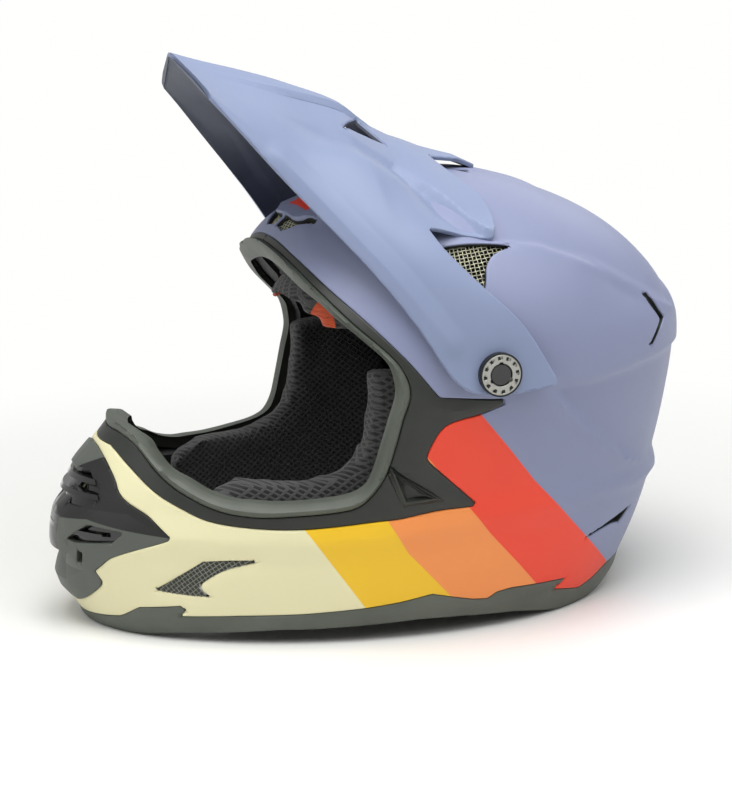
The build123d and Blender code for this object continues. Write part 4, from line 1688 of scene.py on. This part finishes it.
def on_plan(form: ShellForm, spots: Spots, corners: Iterable[int] = ()) -> Array:
    """Places on the shell's plan of a line of the side view.

    Args:
        form: Form of the shell.
        spots: Points of the line.
        corners: Numbers of the spots where it breaks.

    Returns:
        The places on the near half of the plan.
    """
    line = smooth_line(spots, corners, False, 2.0)
    rises = np.linspace(form.low, form.top, 900)
    rows = form.curve.at(rises)
    rise = np.interp(line[:, 1], rows[:, 0], rises)
    _, front, rear, _, wide, _, _ = form.curve.at(rise).T
    x = line[:, 0]
    swing = np.where(x < wide, (wide - x) / (wide - front), -(x - wide) / (rear - wide))
    keep = np.abs(swing) < 0.9999
    return np.stack([np.arccos(np.clip(swing, -1, 1)) * form.spread, rise], 1)[keep]


def front_plan(form: ShellForm, across: Array, height: Array) -> Array:
    """Places on the shell's plan of points of its front.

    Args:
        form: Form of the shell.
        across: Distances off the middle plane.
        height: Heights.

    Returns:
        The places.
    """
    rises = np.linspace(form.low, form.top, 900)[:500]
    rise = np.interp(height, form.curve.at(rises)[:, 0], rises)
    _, _, _, half, _, nose, _ = form.curve.at(rise).T
    turn = np.zeros(len(across))
    for _ in range(12):
        turn = np.arcsin(np.clip(across / half / (1 - nose * np.cos(turn) ** 2), 0, 0.98))
    return np.stack([turn * form.spread, rise], 1)


@dataclass
class ChinCover:
    """Faceted black cover over the intake of the chin bar."""

    form: ShellForm
    wall: float = 4.0
    facets: tuple[Triple, ...] = (
        (0, 100, 0.0), (20, 98, 0.0), (32, 94, 0.0), (42, 90, 0.0),
        (0, 85.5, 2.4), (6, 84.6, 2.2), (21, 91.5, 0.6), (30, 89, 0.0), (40, 78, 0.0),
        (0, 81, -4.6), (10, 80.5, -4.4), (19, 86, -0.4), (33, 76, -0.4), (38, 68, 0.0),
        (0, 71, -4.0), (11, 71, -3.6), (31, 68, -0.2),
        (0, 64, -0.9), (12, 64, -0.9), (50, 68, 0.0),
        (0, 60, -0.2), (12, 60.5, 0.4), (33, 62, 1.2), (50, 60.4, 1.2), (65, 57.5, 0.0), (70, 54, 0.0),
        (0, 45, 0.7), (12, 45, 0.9), (20, 49, 0.6), (26, 48, 0.4), (46, 50.5, 0.5), (56, 48, 0.0),
        (0, 42.4, 0.7), (12, 42.4, 0.8), (0, 40.2, -5.4), (13, 40.2, -4.0),
        (22, 42, 0.2), (31, 41, 0.5), (44, 42, 0.0), (42, 34, 0.0),
        (0, 34, -2.4), (13, 34, -2.0), (29, 34, 0.4), (0, 27, 2.0), (16, 27, 2.0), (36, 28, 0.0),
        (0, 20, 2.2), (15, 20, 1.8), (0, 11, -1.2), (13, 11, -1.0), (30, 16, 0.0),
    )

    def __post_init__(self) -> None:
        """Joins the facets' corners."""
        corners = np.array(self.facets, float)
        made = delaunay_2d_cdt([Vector(p) for p in corners[:, :2]], [], [], 0, 1e-4)
        self.spots = np.array([tuple(v) for v in made[0]])
        origin = [group[0] for group in made[3]]
        self.rises = corners[origin, 2]
        self.tris = np.array([f for f in made[2] if len(f) == 3])

    def shape(self, point: Array) -> Array:
        """Depth inside the cover, outside its openings."""
        return outside(COVER.depth(point), COVER_WINDOWS, point)

    def relief(self, point: Array) -> Array:
        """Height of the facets over the shell's form.

        Args:
            point: Points of the form.

        Returns:
            The heights.
        """
        flat = np.stack([np.abs(point[:, 1]), point[:, 2]], 1)
        rise = np.full(len(flat), 0.3)
        for tri in self.tris:
            (ax, ay), (bx, by), (cx, cy) = self.spots[tri]
            size = (bx - ax) * (cy - ay) - (cx - ax) * (by - ay)
            v = ((flat[:, 0] - ax) * (cy - ay) - (cx - ax) * (flat[:, 1] - ay)) / size
            w = ((bx - ax) * (flat[:, 1] - ay) - (flat[:, 0] - ax) * (by - ay)) / size
            u = 1 - v - w
            inside = (u > -1e-6) & (v > -1e-6) & (w > -1e-6)
            a, b, c = self.rises[tri]
            rise = np.where(inside, u * a + v * b + w * c, rise)
        return rise

    def creases(self) -> tuple[Array, ...]:
        """Edges of the facets on the shell's plan.

        Returns:
            Lines on the plan.
        """
        pairs = {tuple(sorted((tri[k], tri[k - 1]))) for tri in self.tris for k in range(3)}
        lines = []
        for a, b in sorted(pairs):
            way = np.linspace(0, 1, max(3, int(np.linalg.norm(self.spots[a] - self.spots[b]) / 2)))
            spots = self.spots[a] + (self.spots[b] - self.spots[a]) * way[:, None]
            lines.append(front_plan(self.form, spots[:, 0], spots[:, 1]))
        return tuple(lines)

    def build(self) -> None:
        """Makes and dresses the cover."""
        cover = Cut(
            self.form, self.shape, self.relief, proud=0.6, wall=self.wall, edge=0.5, gap=1.8,
            ledges=(0.25, 0.6), sharp=7.0, creases=self.creases(),
        )
        looks = ["chin_cover"] * 2
        finish_piece(cover.build("chin_cover"), ["chin_vent_cover"], looks)


@dataclass
class Peak:
    """Visor with its raised middle rib, side lobes, windows and pivot bores.

    The edges of the rib and the lobes are given as (x, distance off the middle), the drops under
    the plain sheet as (x, depth). Pairs of numbers are the places between which a relief comes in
    or goes out.
    """

    form: VisorForm
    wall: float = 2.4
    bore: float = 3.9
    arm_top: float = 175.0
    rib_rise: float = 2.2
    rib_front: Span = (-95, -40)
    rib_rear: Span = (-8, 6)
    hollow: float = 4.2
    lobe_rise: float = 2.6
    lobe_hollow: float = 2.2
    rib_edge: Spots = ((-90, 20), (-70, 18.5), (-50, 17), (-10, 14), (8, 12))
    lobe_edge: Spots = ((-90, 34), (-49, 38), (-16, 40), (14, 45), (41, 93), (60, 104))
    drops: Spots = (
        (-90, 0), (-70, 0), (-50, 0.5), (-35, 1.0), (-20, 1.2), (-12, 1.8), (-6, 3.3), (4, 4.8),
        (19, 7.2), (37, 7.2), (55, 5.8), (68, 7.5),
    )
    fold: Ridge = Ridge(((-60, 251), (-46, 233.6), (-15, 194), (10, 159)), 1.3, 9.0)

    def shape(self, point: Array) -> Array:
        """Depth inside the visor.

        Args:
            point: Points of the form.

        Returns:
            The depths, negative outside.
        """
        whole = np.full(len(point), 50.0)
        depth = outside(whole, (VISOR_BEHIND, VISOR_LOBES, VISOR_WINDOW), point)
        bore = np.hypot(point[:, 0] - PIVOT[0], point[:, 2] - PIVOT[1]) - self.bore
        return np.where(point[:, 2] < self.arm_top, np.minimum(depth, bore), depth)

    def relief(self, point: Array) -> Array:
        """Height of the rib, lobes and folds over the plain sheet.

        Args:
            point: Points of the form.

        Returns:
            The heights.
        """
        x, y, z = point.T
        wide = np.abs(y)
        edge, crease, drop = (
            np.interp(x, *np.transpose(line)) for line in (self.rib_edge, self.lobe_edge, self.drops)
        )
        rise = -drop * (1 - ease(wide, 80, 110))
        rib = (1 - ease(wide - edge, 0, 3.0)) * ease(x, *self.rib_front) * (1 - ease(x, *self.rib_rear))
        rise += self.rib_rise * rib
        share = np.clip((wide - edge) / (crease - edge), 0, 1) * (1 - ease(wide - crease, 6, 34))
        rise -= self.hollow * share * ease(x, -60, -25) * (1 - ease(x, 12, 34))
        off = line_gap(np.stack([x, wide], 1), np.array(self.lobe_edge, float))[0]
        rise += self.lobe_rise * (1 - ease(off, 0, 5.0)) * ease(x, 0, 30)
        below = ease(off, 0, 5.0) * (1 - ease(off, 8, 28))
        rise -= self.lobe_hollow * below * ease(x, -58, -20) * (1 - ease(x, 38, 60))
        return rise + self.fold.height(point) * (wide > 60) * ease(z, 138, 160)

    def on_sheet(self, spots: Spots) -> Array:
        """Places on the visor's plan of a line of straight runs.

        Args:
            spots: Points of the line as (x, distance off the middle).

        Returns:
            The places, without those past the sheet's ends.
        """
        line = smooth_line(spots, range(len(spots)), False, 2.0)
        form = self.form
        s, v = np.meshgrid(np.linspace(0, form.width, 110), np.linspace(form.low, form.top, 110))
        grid = np.stack([s.ravel(), v.ravel()], 1)
        placed = form.place(grid)
        goal = line * (1, -1)
        flat = grid[[int(np.argmin(np.hypot(*(placed[:, :2] - spot).T))) for spot in goal]]
        for _ in range(4):
            point, _, right, up = frames(form, flat)
            off = goal - point[:, :2]
            size = right[:, 0] * up[:, 1] - right[:, 1] * up[:, 0]
            across = (off[:, 0] * up[:, 1] - off[:, 1] * up[:, 0]) / size
            onward = (off[:, 1] * right[:, 0] - off[:, 0] * right[:, 1]) / size
            flat = flat + np.clip(np.stack([across, onward], 1), -4, 4)
        keep = np.hypot(*(form.place(flat)[:, :2] - goal).T) < 0.3
        keep &= (flat > (0.5, form.low + 0.5)).all(axis=1)
        keep &= (flat < (form.width - 0.5, form.top - 0.5)).all(axis=1)
        return flat[keep]

    def creases(self) -> tuple[Array, ...]:
        """Head and foot of the rib's side on the visor's plan.

        Returns:
            Lines on the plan.
        """
        edge = np.array(self.rib_edge[1:], float)
        lines = (self.on_sheet(edge + (0.0, width)) for width in (0.0, 3.0))
        return tuple(line for line in lines if len(line) > 1)

    def build(self) -> None:
        """Makes and dresses the visor."""
        peak = Cut(
            self.form, self.shape, self.relief, wall=self.wall, edge=0.9, gap=1.9, sharp=22.0,
            creases=self.creases(), lined=(VISOR_WINDOW,),
        ).build("peak")
        # The second finish paints shade on the visor's underside and on the walls round its window.
        looks = ["visor_plastic", "visor_underside_painted_shade"]
        finish_piece(peak, ["visor"], looks, "visor_body")


# ---------------- wires and stitches


def apply_all(thing: Object) -> None:
    """Turns an object's modifiers into its mesh.

    Args:
        thing: The object.
    """
    bpy.context.view_layer.update()
    graph = bpy.context.evaluated_depsgraph_get()
    mesh = bpy.data.meshes.new_from_object(thing.evaluated_get(graph), depsgraph=graph)
    thing.modifiers.clear()
    thing.data = mesh


class NodeGroup:
    """A Geometry Nodes group with named inputs."""

    def __init__(self, name: str, inputs: dict[str, str]) -> None:
        """Makes the group and its sockets.

        Args:
            name: Name of the group.
            inputs: Socket type of each named input after the geometry.
        """
        self.group = bpy.data.node_groups.new(name, "GeometryNodeTree")
        sockets = self.group.interface
        sockets.new_socket("Geometry", in_out="INPUT", socket_type="NodeSocketGeometry")
        for label, kind in inputs.items():
            sockets.new_socket(label, in_out="INPUT", socket_type="NodeSocket" + kind)
        sockets.new_socket("Geometry", in_out="OUTPUT", socket_type="NodeSocketGeometry")
        self.start = self.node("NodeGroupInput")

    def node(self, kind: str, inputs: dict | None = None, **settings: object) -> Node:
        """Adds a node, its inputs linked or set by name or number."""
        return add_node(self.group, kind, inputs, **settings)

    def end(self, geometry: NodeSocket) -> None:
        """Realizes the instances and sets the material.

        Args:
            geometry: The geometry so far.
        """
        real = self.node("GeometryNodeRealizeInstances", {0: geometry})
        inputs = {"Geometry": real.outputs[0], "Material": self.start.outputs["Material"]}
        self.node("NodeGroupOutput", {0: self.node("GeometryNodeSetMaterial", inputs).outputs[0]})

    def grow(self, thing: Object, **values: object) -> None:
        """Runs the group on an object and keeps the plain mesh that it gives.

        Args:
            thing: The object.
            **values: Values of the group's inputs by name.
        """
        modifier = thing.modifiers.new("grow", "NODES")
        modifier.node_group = self.group
        for item in self.group.interface.items_tree:
            if item.in_out == "INPUT" and item.name in values:
                modifier[item.identifier] = values[item.name]
        apply_all(thing)


def wire_group() -> NodeGroup:
    """Group that runs round wires along the edges of a mesh.

    Returns:
        The group.
    """
    made = NodeGroup("wires", {"Radius": "Float", "Sides": "Int", "Material": "Material"})
    start = made.start.outputs
    lines = made.node("GeometryNodeMeshToCurve", {0: start["Geometry"]})
    inputs = {"Resolution": start["Sides"], "Radius": start["Radius"]}
    ring = made.node("GeometryNodeCurvePrimitiveCircle", inputs)
    inputs = {"Curve": lines.outputs[0], "Profile Curve": ring.outputs[0], "Fill Caps": True}
    wires = made.node("GeometryNodeCurveToMesh", inputs)
    made.end(made.node("GeometryNodeSetShadeSmooth", {0: wires.outputs[0]}).outputs[0])
    return made


def stitch_group() -> NodeGroup:
    """Group that sets a thread stitch on each point of a mesh.

    Returns:
        The group.
    """
    made = NodeGroup("stitches", {"Length": "Float", "Thickness": "Float", "Material": "Material"})
    start = made.start.outputs
    ball = made.node("GeometryNodeMeshUVSphere", {"Segments": 8, "Rings": 6, "Radius": 0.5})
    thick = start["Thickness"]
    size = made.node("ShaderNodeCombineXYZ", {"X": start["Length"], "Y": thick, "Z": thick})
    turn = made.node("GeometryNodeInputNamedAttribute", {"Name": "turn"}, data_type="FLOAT_VECTOR")
    inputs = {"Points": start["Geometry"], "Instance": ball.outputs[0]}
    inputs |= {"Rotation": turn.outputs[0], "Scale": size.outputs[0]}
    made.end(made.node("GeometryNodeInstanceOnPoints", inputs).outputs[0])
    return made


@dataclass(frozen=True)
class Screen:
    """A woven wire screen behind a vent.

    Its depth is that of its middle under the form, its turns are the ways of the two sets of
    wires in degrees, and it reaches past the outline by its overlap.
    """

    name: str
    outline: Outline
    depth: float
    pitch: float = 2.3
    radius: float = 0.32
    turns: Span = (0.0, 90.0)
    overlap: float = 1.6
    slot: str = "mesh"
    node: str = ""
    middle: bool = False
    sides: int = 6
    half_count: int = 40
    half_length: float = 75.0

    def wires(self, form: ShellForm) -> tuple[Array, list[Pair]]:
        """Centre lines of the wires on the left side.

        Args:
            form: Form of the shell.

        Returns:
            Their points and edges.
        """
        s, v = np.meshgrid(np.arange(0, form.width, 3.0), np.arange(form.low, form.top, 3.0))
        grid = np.stack([s.ravel(), v.ravel()], 1)
        centre = grid[self.outline.depth(form.place(grid)) > 0].mean(axis=0)
        if self.middle:
            centre[0] = 0
        _, _, right, up = frames(form, centre[None])
        scale = np.array([np.linalg.norm(right[0]), np.linalg.norm(up[0])])
        points, edges = [], []
        u = np.arange(-self.half_length, self.half_length, self.pitch / 4)
        for family, turn in enumerate(self.turns):
            a = math.radians(turn)
            way, off = np.array([math.cos(a), math.sin(a)]), np.array([-math.sin(a), math.cos(a)])
            for number in range(-self.half_count, self.half_count + 1):
                flat = centre + (u[:, None] * way + off * number * self.pitch) / scale
                keep = (flat[:, 0] > 0) & (flat[:, 1] > form.low) & (flat[:, 1] < form.top)
                place, normal, _, _ = frames(form, flat)
                keep &= self.outline.depth(place) > -self.overlap
                wave = np.sin(math.pi * (u / self.pitch + number + family)) * self.radius
                place = place - normal * (self.depth + wave)[:, None]
                ids = np.nonzero(keep)[0] + len(points)
                edges += [(k, k + 1) for k in ids[:-1][np.diff(ids) == 1]]
                points.extend(place)
        return np.array(points), edges

    def build(self, form: ShellForm, group: NodeGroup, side: Side) -> None:
        """Makes the screen of one side.

        Args:
            form: Form of the shell.
            group: Group that makes the wires.
            side: Side of the helmet.
        """
        points, edges = self.wires(form)
        if side is Side.RIGHT:
            points = points * (1, -1, 1)
        used, number = np.unique(edges, return_inverse=True)
        points, edges = points[used], number.reshape(-1, 2)
        if self.middle:
            edges = np.concatenate([edges, edges + len(points)])
            points = np.concatenate([points, points * (1, -1, 1)])
        ending = "" if self.middle else "_" + side.word
        mesh = bpy.data.meshes.new(self.name + ending)
        mesh.from_pydata((points * MM).tolist(), edges.tolist(), [])
        thing = shown(mesh.name, mesh)
        look = material("wire" if self.slot == "mesh" else "vent_mesh")
        group.grow(thing, Radius=self.radius * MM, Sides=self.sides, Material=look)
        finish_piece(thing, [self.node + ending] if self.node else [])


FIN_FRAME = Outline(((-150.5, 90), (-142, 63), (-146, 47), (-220, 42), (-220, 92)), tuple(range(5)))
SCREENS = (
    Screen("brow_screen", BROW_VENT, 3.6, 2.0, 0.25, node="brow_vent_screen"),
    Screen("crown_screen", MESH_VENT, 3.6, 2.3, 0.27, (8.0, 98.0), node="crown_vent_screen"),
    Screen("chin_side_mesh", SIDE_VENT, 1.35, 2.2, 0.24, (35.0, 125.0), 0.4, "black_plastic"),
    Screen("chin_screen", FIN_FRAME, 6.2, 3.0, 0.45, node="chin_vent_screen", middle=True),
)


# ---------------- soft pieces


@dataclass(frozen=True)
class Pad:
    """A comfort pad, swollen from its solid by the pressure of its filling."""

    node: str
    slot: str = "black_fabric"
    finish: str = "black_fabric"
    voxel: float = 5.0
    inset: float = 1.0
    swell: float = 3.0
    fill: float = 0.6
    pressure: float = 4.0
    mass: float = 0.25
    frames: int = 20

    def start(self) -> Object:
        """Copies the solid, a little smaller, in even faces.

        Returns:
            The copy.
        """
        thing = shown(self.node + "_cushion", frame["nodes"][self.node].data.copy())
        thing.data.materials.clear()
        remesh = thing.modifiers.new("even", "REMESH")
        remesh.mode = "VOXEL"
        remesh.voxel_size = self.voxel * MM
        apply_all(thing)
        normals = np.empty(len(thing.data.vertices) * 3, np.float32)
        thing.data.vertices.foreach_get("normal", normals)
        put_spots(thing, spots_of(thing) - normals.reshape(-1, 3) * self.inset * MM)
        return thing

    def stuff(self, thing: Object) -> None:
        """Sets the pressure that fills the pad.

        Args:
            thing: The pad.
        """
        cloth = thing.modifiers.new("fill", "CLOTH")
        cloth.settings.quality = 4
        cloth.settings.mass = self.mass
        cloth.settings.use_pressure = True
        cloth.settings.uniform_pressure_force = self.pressure
        cloth.settings.effector_weights.gravity = 0.0
        cloth.collision_settings.use_collision = False
        cloth.point_cache.frame_start = 1
        cloth.point_cache.frame_end = self.frames

    def close(self, thing: Object, rest: Array, moved: Array) -> None:
        """Caps how far the cover moved, smooths it and hands it over.

        Args:
            thing: The pad.
            rest: Places of its corners before filling.
            moved: Their places after it.
        """
        off = moved - rest
        far = np.linalg.norm(off, axis=1)[:, None] + 1e-12
        put_spots(thing, rest + off * np.minimum(1, self.swell * MM / far))
        smooth = thing.modifiers.new("smooth", "SUBSURF")
        smooth.levels = smooth.render_levels = 1
        apply_all(thing)
        shade(thing.data, 80.0)
        finish_piece(thing, [self.node], [self.finish])


def spots_of(thing: Object) -> Array:
    """Places of a mesh's corners in metres.

    Args:
        thing: Object of the mesh.

    Returns:
        The places.
    """
    spots = np.empty(len(thing.data.vertices) * 3, np.float32)
    thing.data.vertices.foreach_get("co", spots)
    return spots.reshape(-1, 3).astype(float)


def put_spots(thing: Object, spots: Array) -> None:
    """Moves a mesh's corners."""
    thing.data.vertices.foreach_set("co", spots.astype(np.float32).ravel())
    thing.data.update()


PADS = (
    Pad("cheek_pad_left"),
    Pad("cheek_pad_right"),
    Pad("crown_pad", voxel=6.0),
    Pad("forehead_pad", "orange_fabric", "forehead"),
    Pad("neck_roll"),
)


def make_pads() -> None:
    """Fills all pads in one run of the cloth simulation."""
    things = [pad.start() for pad in PADS]
    rest = [spots_of(thing) for thing in things]
    moved = list(rest)
    scene = bpy.context.scene
    for pad, thing in zip(PADS, things):
        pad.stuff(thing)
    for number in range(1, Pad.frames + 1):
        scene.frame_set(number)
    graph = bpy.context.evaluated_depsgraph_get()
    for k, thing in enumerate(things):
        swollen = thing.evaluated_get(graph).data.vertices
        moved[k] = np.array([tuple(v.co) for v in swollen], float)
    for thing in things:
        thing.modifiers.clear()
    scene.frame_set(1)
    for pad, thing, before, after in zip(PADS, things, rest, moved):
        pad.close(thing, before, after)


@dataclass(frozen=True)
class Strap:
    """Webbing of the chin strap, looped over its hanger and, on the left, round the ring pair.

    A loop is given by its distance off the middle plane, its height and its radius.
    """

    side: Side
    path: Spots
    end_loop: Triple | None = None
    hanger: Triple = (78.0, 74.0, 3.1)
    low: float = 52.0
    wide: float = 20.0
    wall: float = 1.34
    ribs: int = 6
    rib: float = 0.05
    stitch_rows: tuple[float, ...] = (3.0, 7.5, 12.5, 17.0)
    stitches: int = 6
    stitch_start: float = 4.0
    stitch_pitch: float = 2.6
    stitch_size: Span = (2.0, 0.5)

    def centre(self) -> Array:
        """Centre line of the band across the helmet.

        Returns:
            Points as distance off the middle plane and height.
        """
        parts = [arc(self.hanger, 245, -85, 22), smooth_line(self.path, (), False, 2.5)[1:]]
        if self.end_loop:
            parts.append(arc(self.end_loop, 12, 330, 20))
        return np.concatenate(parts)

    def build(self, group: NodeGroup) -> None:
        """Makes the band and its stitches.

        Args:
            group: Group that makes stitches.
        """
        line = self.centre()
        way = np.gradient(line, axis=0)
        way /= np.linalg.norm(way, axis=1)[:, None]
        across = np.linspace(0, 1, 2 * self.ribs + 1)
        thick = np.where((across == 0) | (across == 1), 0.45, 1.0) * self.wall / 2
        thick = thick + self.rib * np.cos(across * math.pi * 2 * self.ribs)
        rows = []
        for spot, off in zip(line, np.stack([-way[:, 1], way[:, 0]], 1)):
            ring = [(u, spot + off * t) for u, t in zip(across, thick)]
            ring += [(u, spot - off * t) for u, t in zip(across, thick)][::-1]
            rows.append([(self.low + self.wide * u, self.side.value * y, z) for u, (y, z) in ring])
        size = len(rows[0])
        verts = np.array(rows).reshape(-1, 3)
        faces = []
        for j in range(len(rows) - 1):
            for k in range(size):
                a, b = j * size + k, j * size + (k + 1) % size
                faces.append((a, b, b + size, a + size))
        faces += [tuple(range(size))[::-1], tuple(range(len(verts) - size, len(verts)))]
        if self.side is Side.RIGHT:
            faces = [face[::-1] for face in faces]
        name = "chin_strap_" + self.side.word
        thing = mesh_object(name + "_webbing", verts, faces, angle=50.0)
        finish_piece(thing, [name], ["webbing"] * 2, "strap_" + self.side.word)
        self.stitch(group)

    def stitch(self, group: NodeGroup) -> None:
        """Sews the loop below the hanger with rows of stitches.

        Args:
            group: Group that makes stitches.
        """
        start, after = np.array(self.path[0], float), np.array(self.path[1], float)
        way = (after - start) / math.hypot(*(after - start))
        off = np.array([-way[1], way[0]])
        spots = []
        for row in self.stitch_rows:
            for number in range(self.stitches):
                for face in (-1, 1):
                    y, z = start + way * (self.stitch_start + self.stitch_pitch * number)
                    y, z = (y, z) + off * face * self.wall * 0.5
                    spots.append((self.low + row, self.side.value * y, z))
        turn = (math.atan2(way[1], self.side.value * way[0]), 0.0, math.pi / 2)
        body = "strap_" + self.side.word
        mesh = bpy.data.meshes.new(body + "_stitches")
        mesh.from_pydata((np.array(spots) * MM).tolist(), [], [])
        turns = mesh.attributes.new("turn", "FLOAT_VECTOR", "POINT")
        turns.data.foreach_set("vector", turn * len(spots))
        thing = shown(mesh.name, mesh)
        length, thickness = (size * MM for size in self.stitch_size)
        group.grow(thing, Length=length, Thickness=thickness, Material=material("thread"))
        finish_piece(thing, body=body)


def arc(loop: Triple, first: float, last: float, count: int) -> Array:
    """Points of a round loop.

    Args:
        loop: Place and radius.
        first: Angle of the first point in degrees.
        last: Angle of the last point.
        count: Number of points.

    Returns:
        The points.
    """
    y, z, radius = loop
    turns = np.radians(np.linspace(first, last, count))
    return np.stack([y + radius * np.cos(turns), z + radius * np.sin(turns)], 1)


LEFT_PATH = ((78, 70.9), (76.5, 50), (72, 26), (64, 11.5), (52, 6.8), (38, 6.4))
STRAPS = (
    Strap(Side.LEFT, LEFT_PATH, (33.8, 6.4, 4.2)),
    Strap(Side.RIGHT, ((78, 70.9), (76.5, 50), (72, 26), (64, 11), (50, 5.8), (20, 5))),
)


# ---------------- fittings


def dress_fittings() -> None:
    """Gives the solids that still show their finish."""
    for row in frame["record"]["subparts"]:
        thing = frame["nodes"][row["node"]]
        thing.data.materials.clear()
        slot = "screw_cap" if "screw_cap" in row["node"] else row["material_slot"]
        thing.data.materials.append(material(slot))
    LOG.info("dressed %d solids", len(frame["nodes"]))


# ---------------- studio


@dataclass
class Studio:
    """Pale floor, soft light and the camera of the photograph.

    Each lamp has a name, a place, a size and a power. The camera turns about its aim.
    """

    turn: float = 17.0
    height: float = 12.5
    roll: float = -1.2
    reach: float = 1100.0
    scale: float = 1.78
    aim: Triple = (3.0, 0.0, 106.5)
    size: tuple[int, int] = (732, 800)
    floor_reach: float = 6000.0
    floor_fade: Span = (0.24, 0.62)
    paper: Colour = (0.84, 0.84, 0.82)
    white: Colour = (1.0, 1.0, 0.985)
    glow: float = 0.18
    lamps: tuple[tuple[str, Triple, float, float], ...] = (
        ("roof", (-60, -330, 1500), 1300, 23.0),
        ("front", (-1150, -350, 1050), 900, 6.5),
        ("side", (750, -950, 1050), 900, 5.0),
        ("rear", (900, 900, 900), 900, 2.0),
    )

    def build(self) -> None:
        """Makes the floor, the lamps, the world and the camera."""
        self.floor()
        for lamp in self.lamps:
            self.lamp(*lamp)
        self.world()
        self.camera()

    def floor(self) -> None:
        """Makes the floor as a plain sheet at height 0, white at a distance."""
        corners = ((-1, -1, 0), (1, -1, 0), (1, 1, 0), (-1, 1, 0))
        floor = mesh_object("floor", np.array(corners) * self.floor_reach, [(0, 1, 2, 3)])
        paint = Paintwork("floor_paper")
        paint.dress(Base_Color=self.paper, Roughness=0.6 + 0.1 * paint.noise(40.0))
        floor.data.materials.append(paint.material)
        white = paint.node("Emission", {"Color": self.white, "Strength": 1.0})
        path = paint.node("LightPath")
        far = paint.sock(paint.node("VectorMath", {0: paint.coords}, operation="LENGTH"), "Value")
        seen = paint.sock(path, "Is Camera Ray").most(paint.sock(path, "Is Glossy Ray"))
        fade = far.step(*self.floor_fade) * seen
        blend = paint.node("MixShader", {0: fade, 1: paint.shader.outputs[0], 2: white.outputs[0]})
        fill(paint.out, {0: blend.outputs[0]})

    def lamp(self, name: str, place: Sequence[float], size: float, power: float) -> None:
        """Makes one round lamp that faces the helmet.

        Args:
            name: Name of the lamp.
            place: Its place.
            size: Its width.
            power: Its power in watts.
        """
        data = bpy.data.lights.new(name, "AREA")
        data.shape = "DISK"
        data.size = size * MM
        data.energy = power
        thing = shown(name, data)
        thing.location = Vector(place) * MM
        way = Vector(self.aim) * MM - thing.location
        thing.rotation_euler = way.to_track_quat("-Z", "Y").to_euler()

    def world(self) -> None:
        """Makes white surroundings that give little light."""
        world = bpy.data.worlds.new("studio")
        world.use_nodes = True
        bpy.context.scene.world = world
        tree = world.node_tree
        tree.nodes.clear()
        path = add_node(tree, "ShaderNodeLightPath")
        rays = ("Is Camera Ray", "Is Transmission Ray", "Is Glossy Ray")
        camera, through, glossy = (Sock(tree, path.outputs[ray]) for ray in rays)
        strength = self.glow + (1 - self.glow) * camera.most(through) + 0.3 * glossy
        ground = add_node(tree, "ShaderNodeBackground", {0: self.white, 1: strength})
        add_node(tree, "ShaderNodeOutputWorld", {0: ground.outputs[0]})
        bpy.context.scene.view_settings.view_transform = "Standard"

    def camera(self) -> None:
        """Makes the camera and aims it."""
        a, e, g = (math.radians(v) for v in (self.turn, self.height, self.roll))
        onward = Vector((math.sin(a) * math.cos(e), math.cos(a) * math.cos(e), -math.sin(e)))
        right = Vector((math.cos(a), -math.sin(a), 0.0))
        up = right.cross(onward)
        right, up = right * math.cos(g) + up * math.sin(g), up * math.cos(g) - right * math.sin(g)
        data = bpy.data.cameras.new("camera")
        data.sensor_fit = "AUTO"
        data.angle = 2 * math.atan(max(self.size) / 2 / (self.scale * self.reach))
        data.clip_end = 50.0
        thing = shown("camera", data)
        axes = Matrix((right, up, -onward)).transposed().to_4x4()
        place = (Vector(self.aim) - onward * self.reach) * MM
        thing.matrix_world = Matrix.Translation(place) @ axes
        bpy.context.scene.camera = thing


def main() -> None:
    """Builds the helmet's looks and the studio round it."""
    Studio().build()
    dress_fittings()
    form = ShellForm()
    HardShell(form).build()
    ChinCover(form).build()
    Peak(VisorForm()).build()
    wires, stitches = wire_group(), stitch_group()
    for screen in SCREENS:
        for side in (Side.LEFT,) if screen.middle else Side:
            screen.build(form, wires, side)
    for strap in STRAPS:
        strap.build(stitches)
    make_pads()


if __name__ == "__main__":
    main()
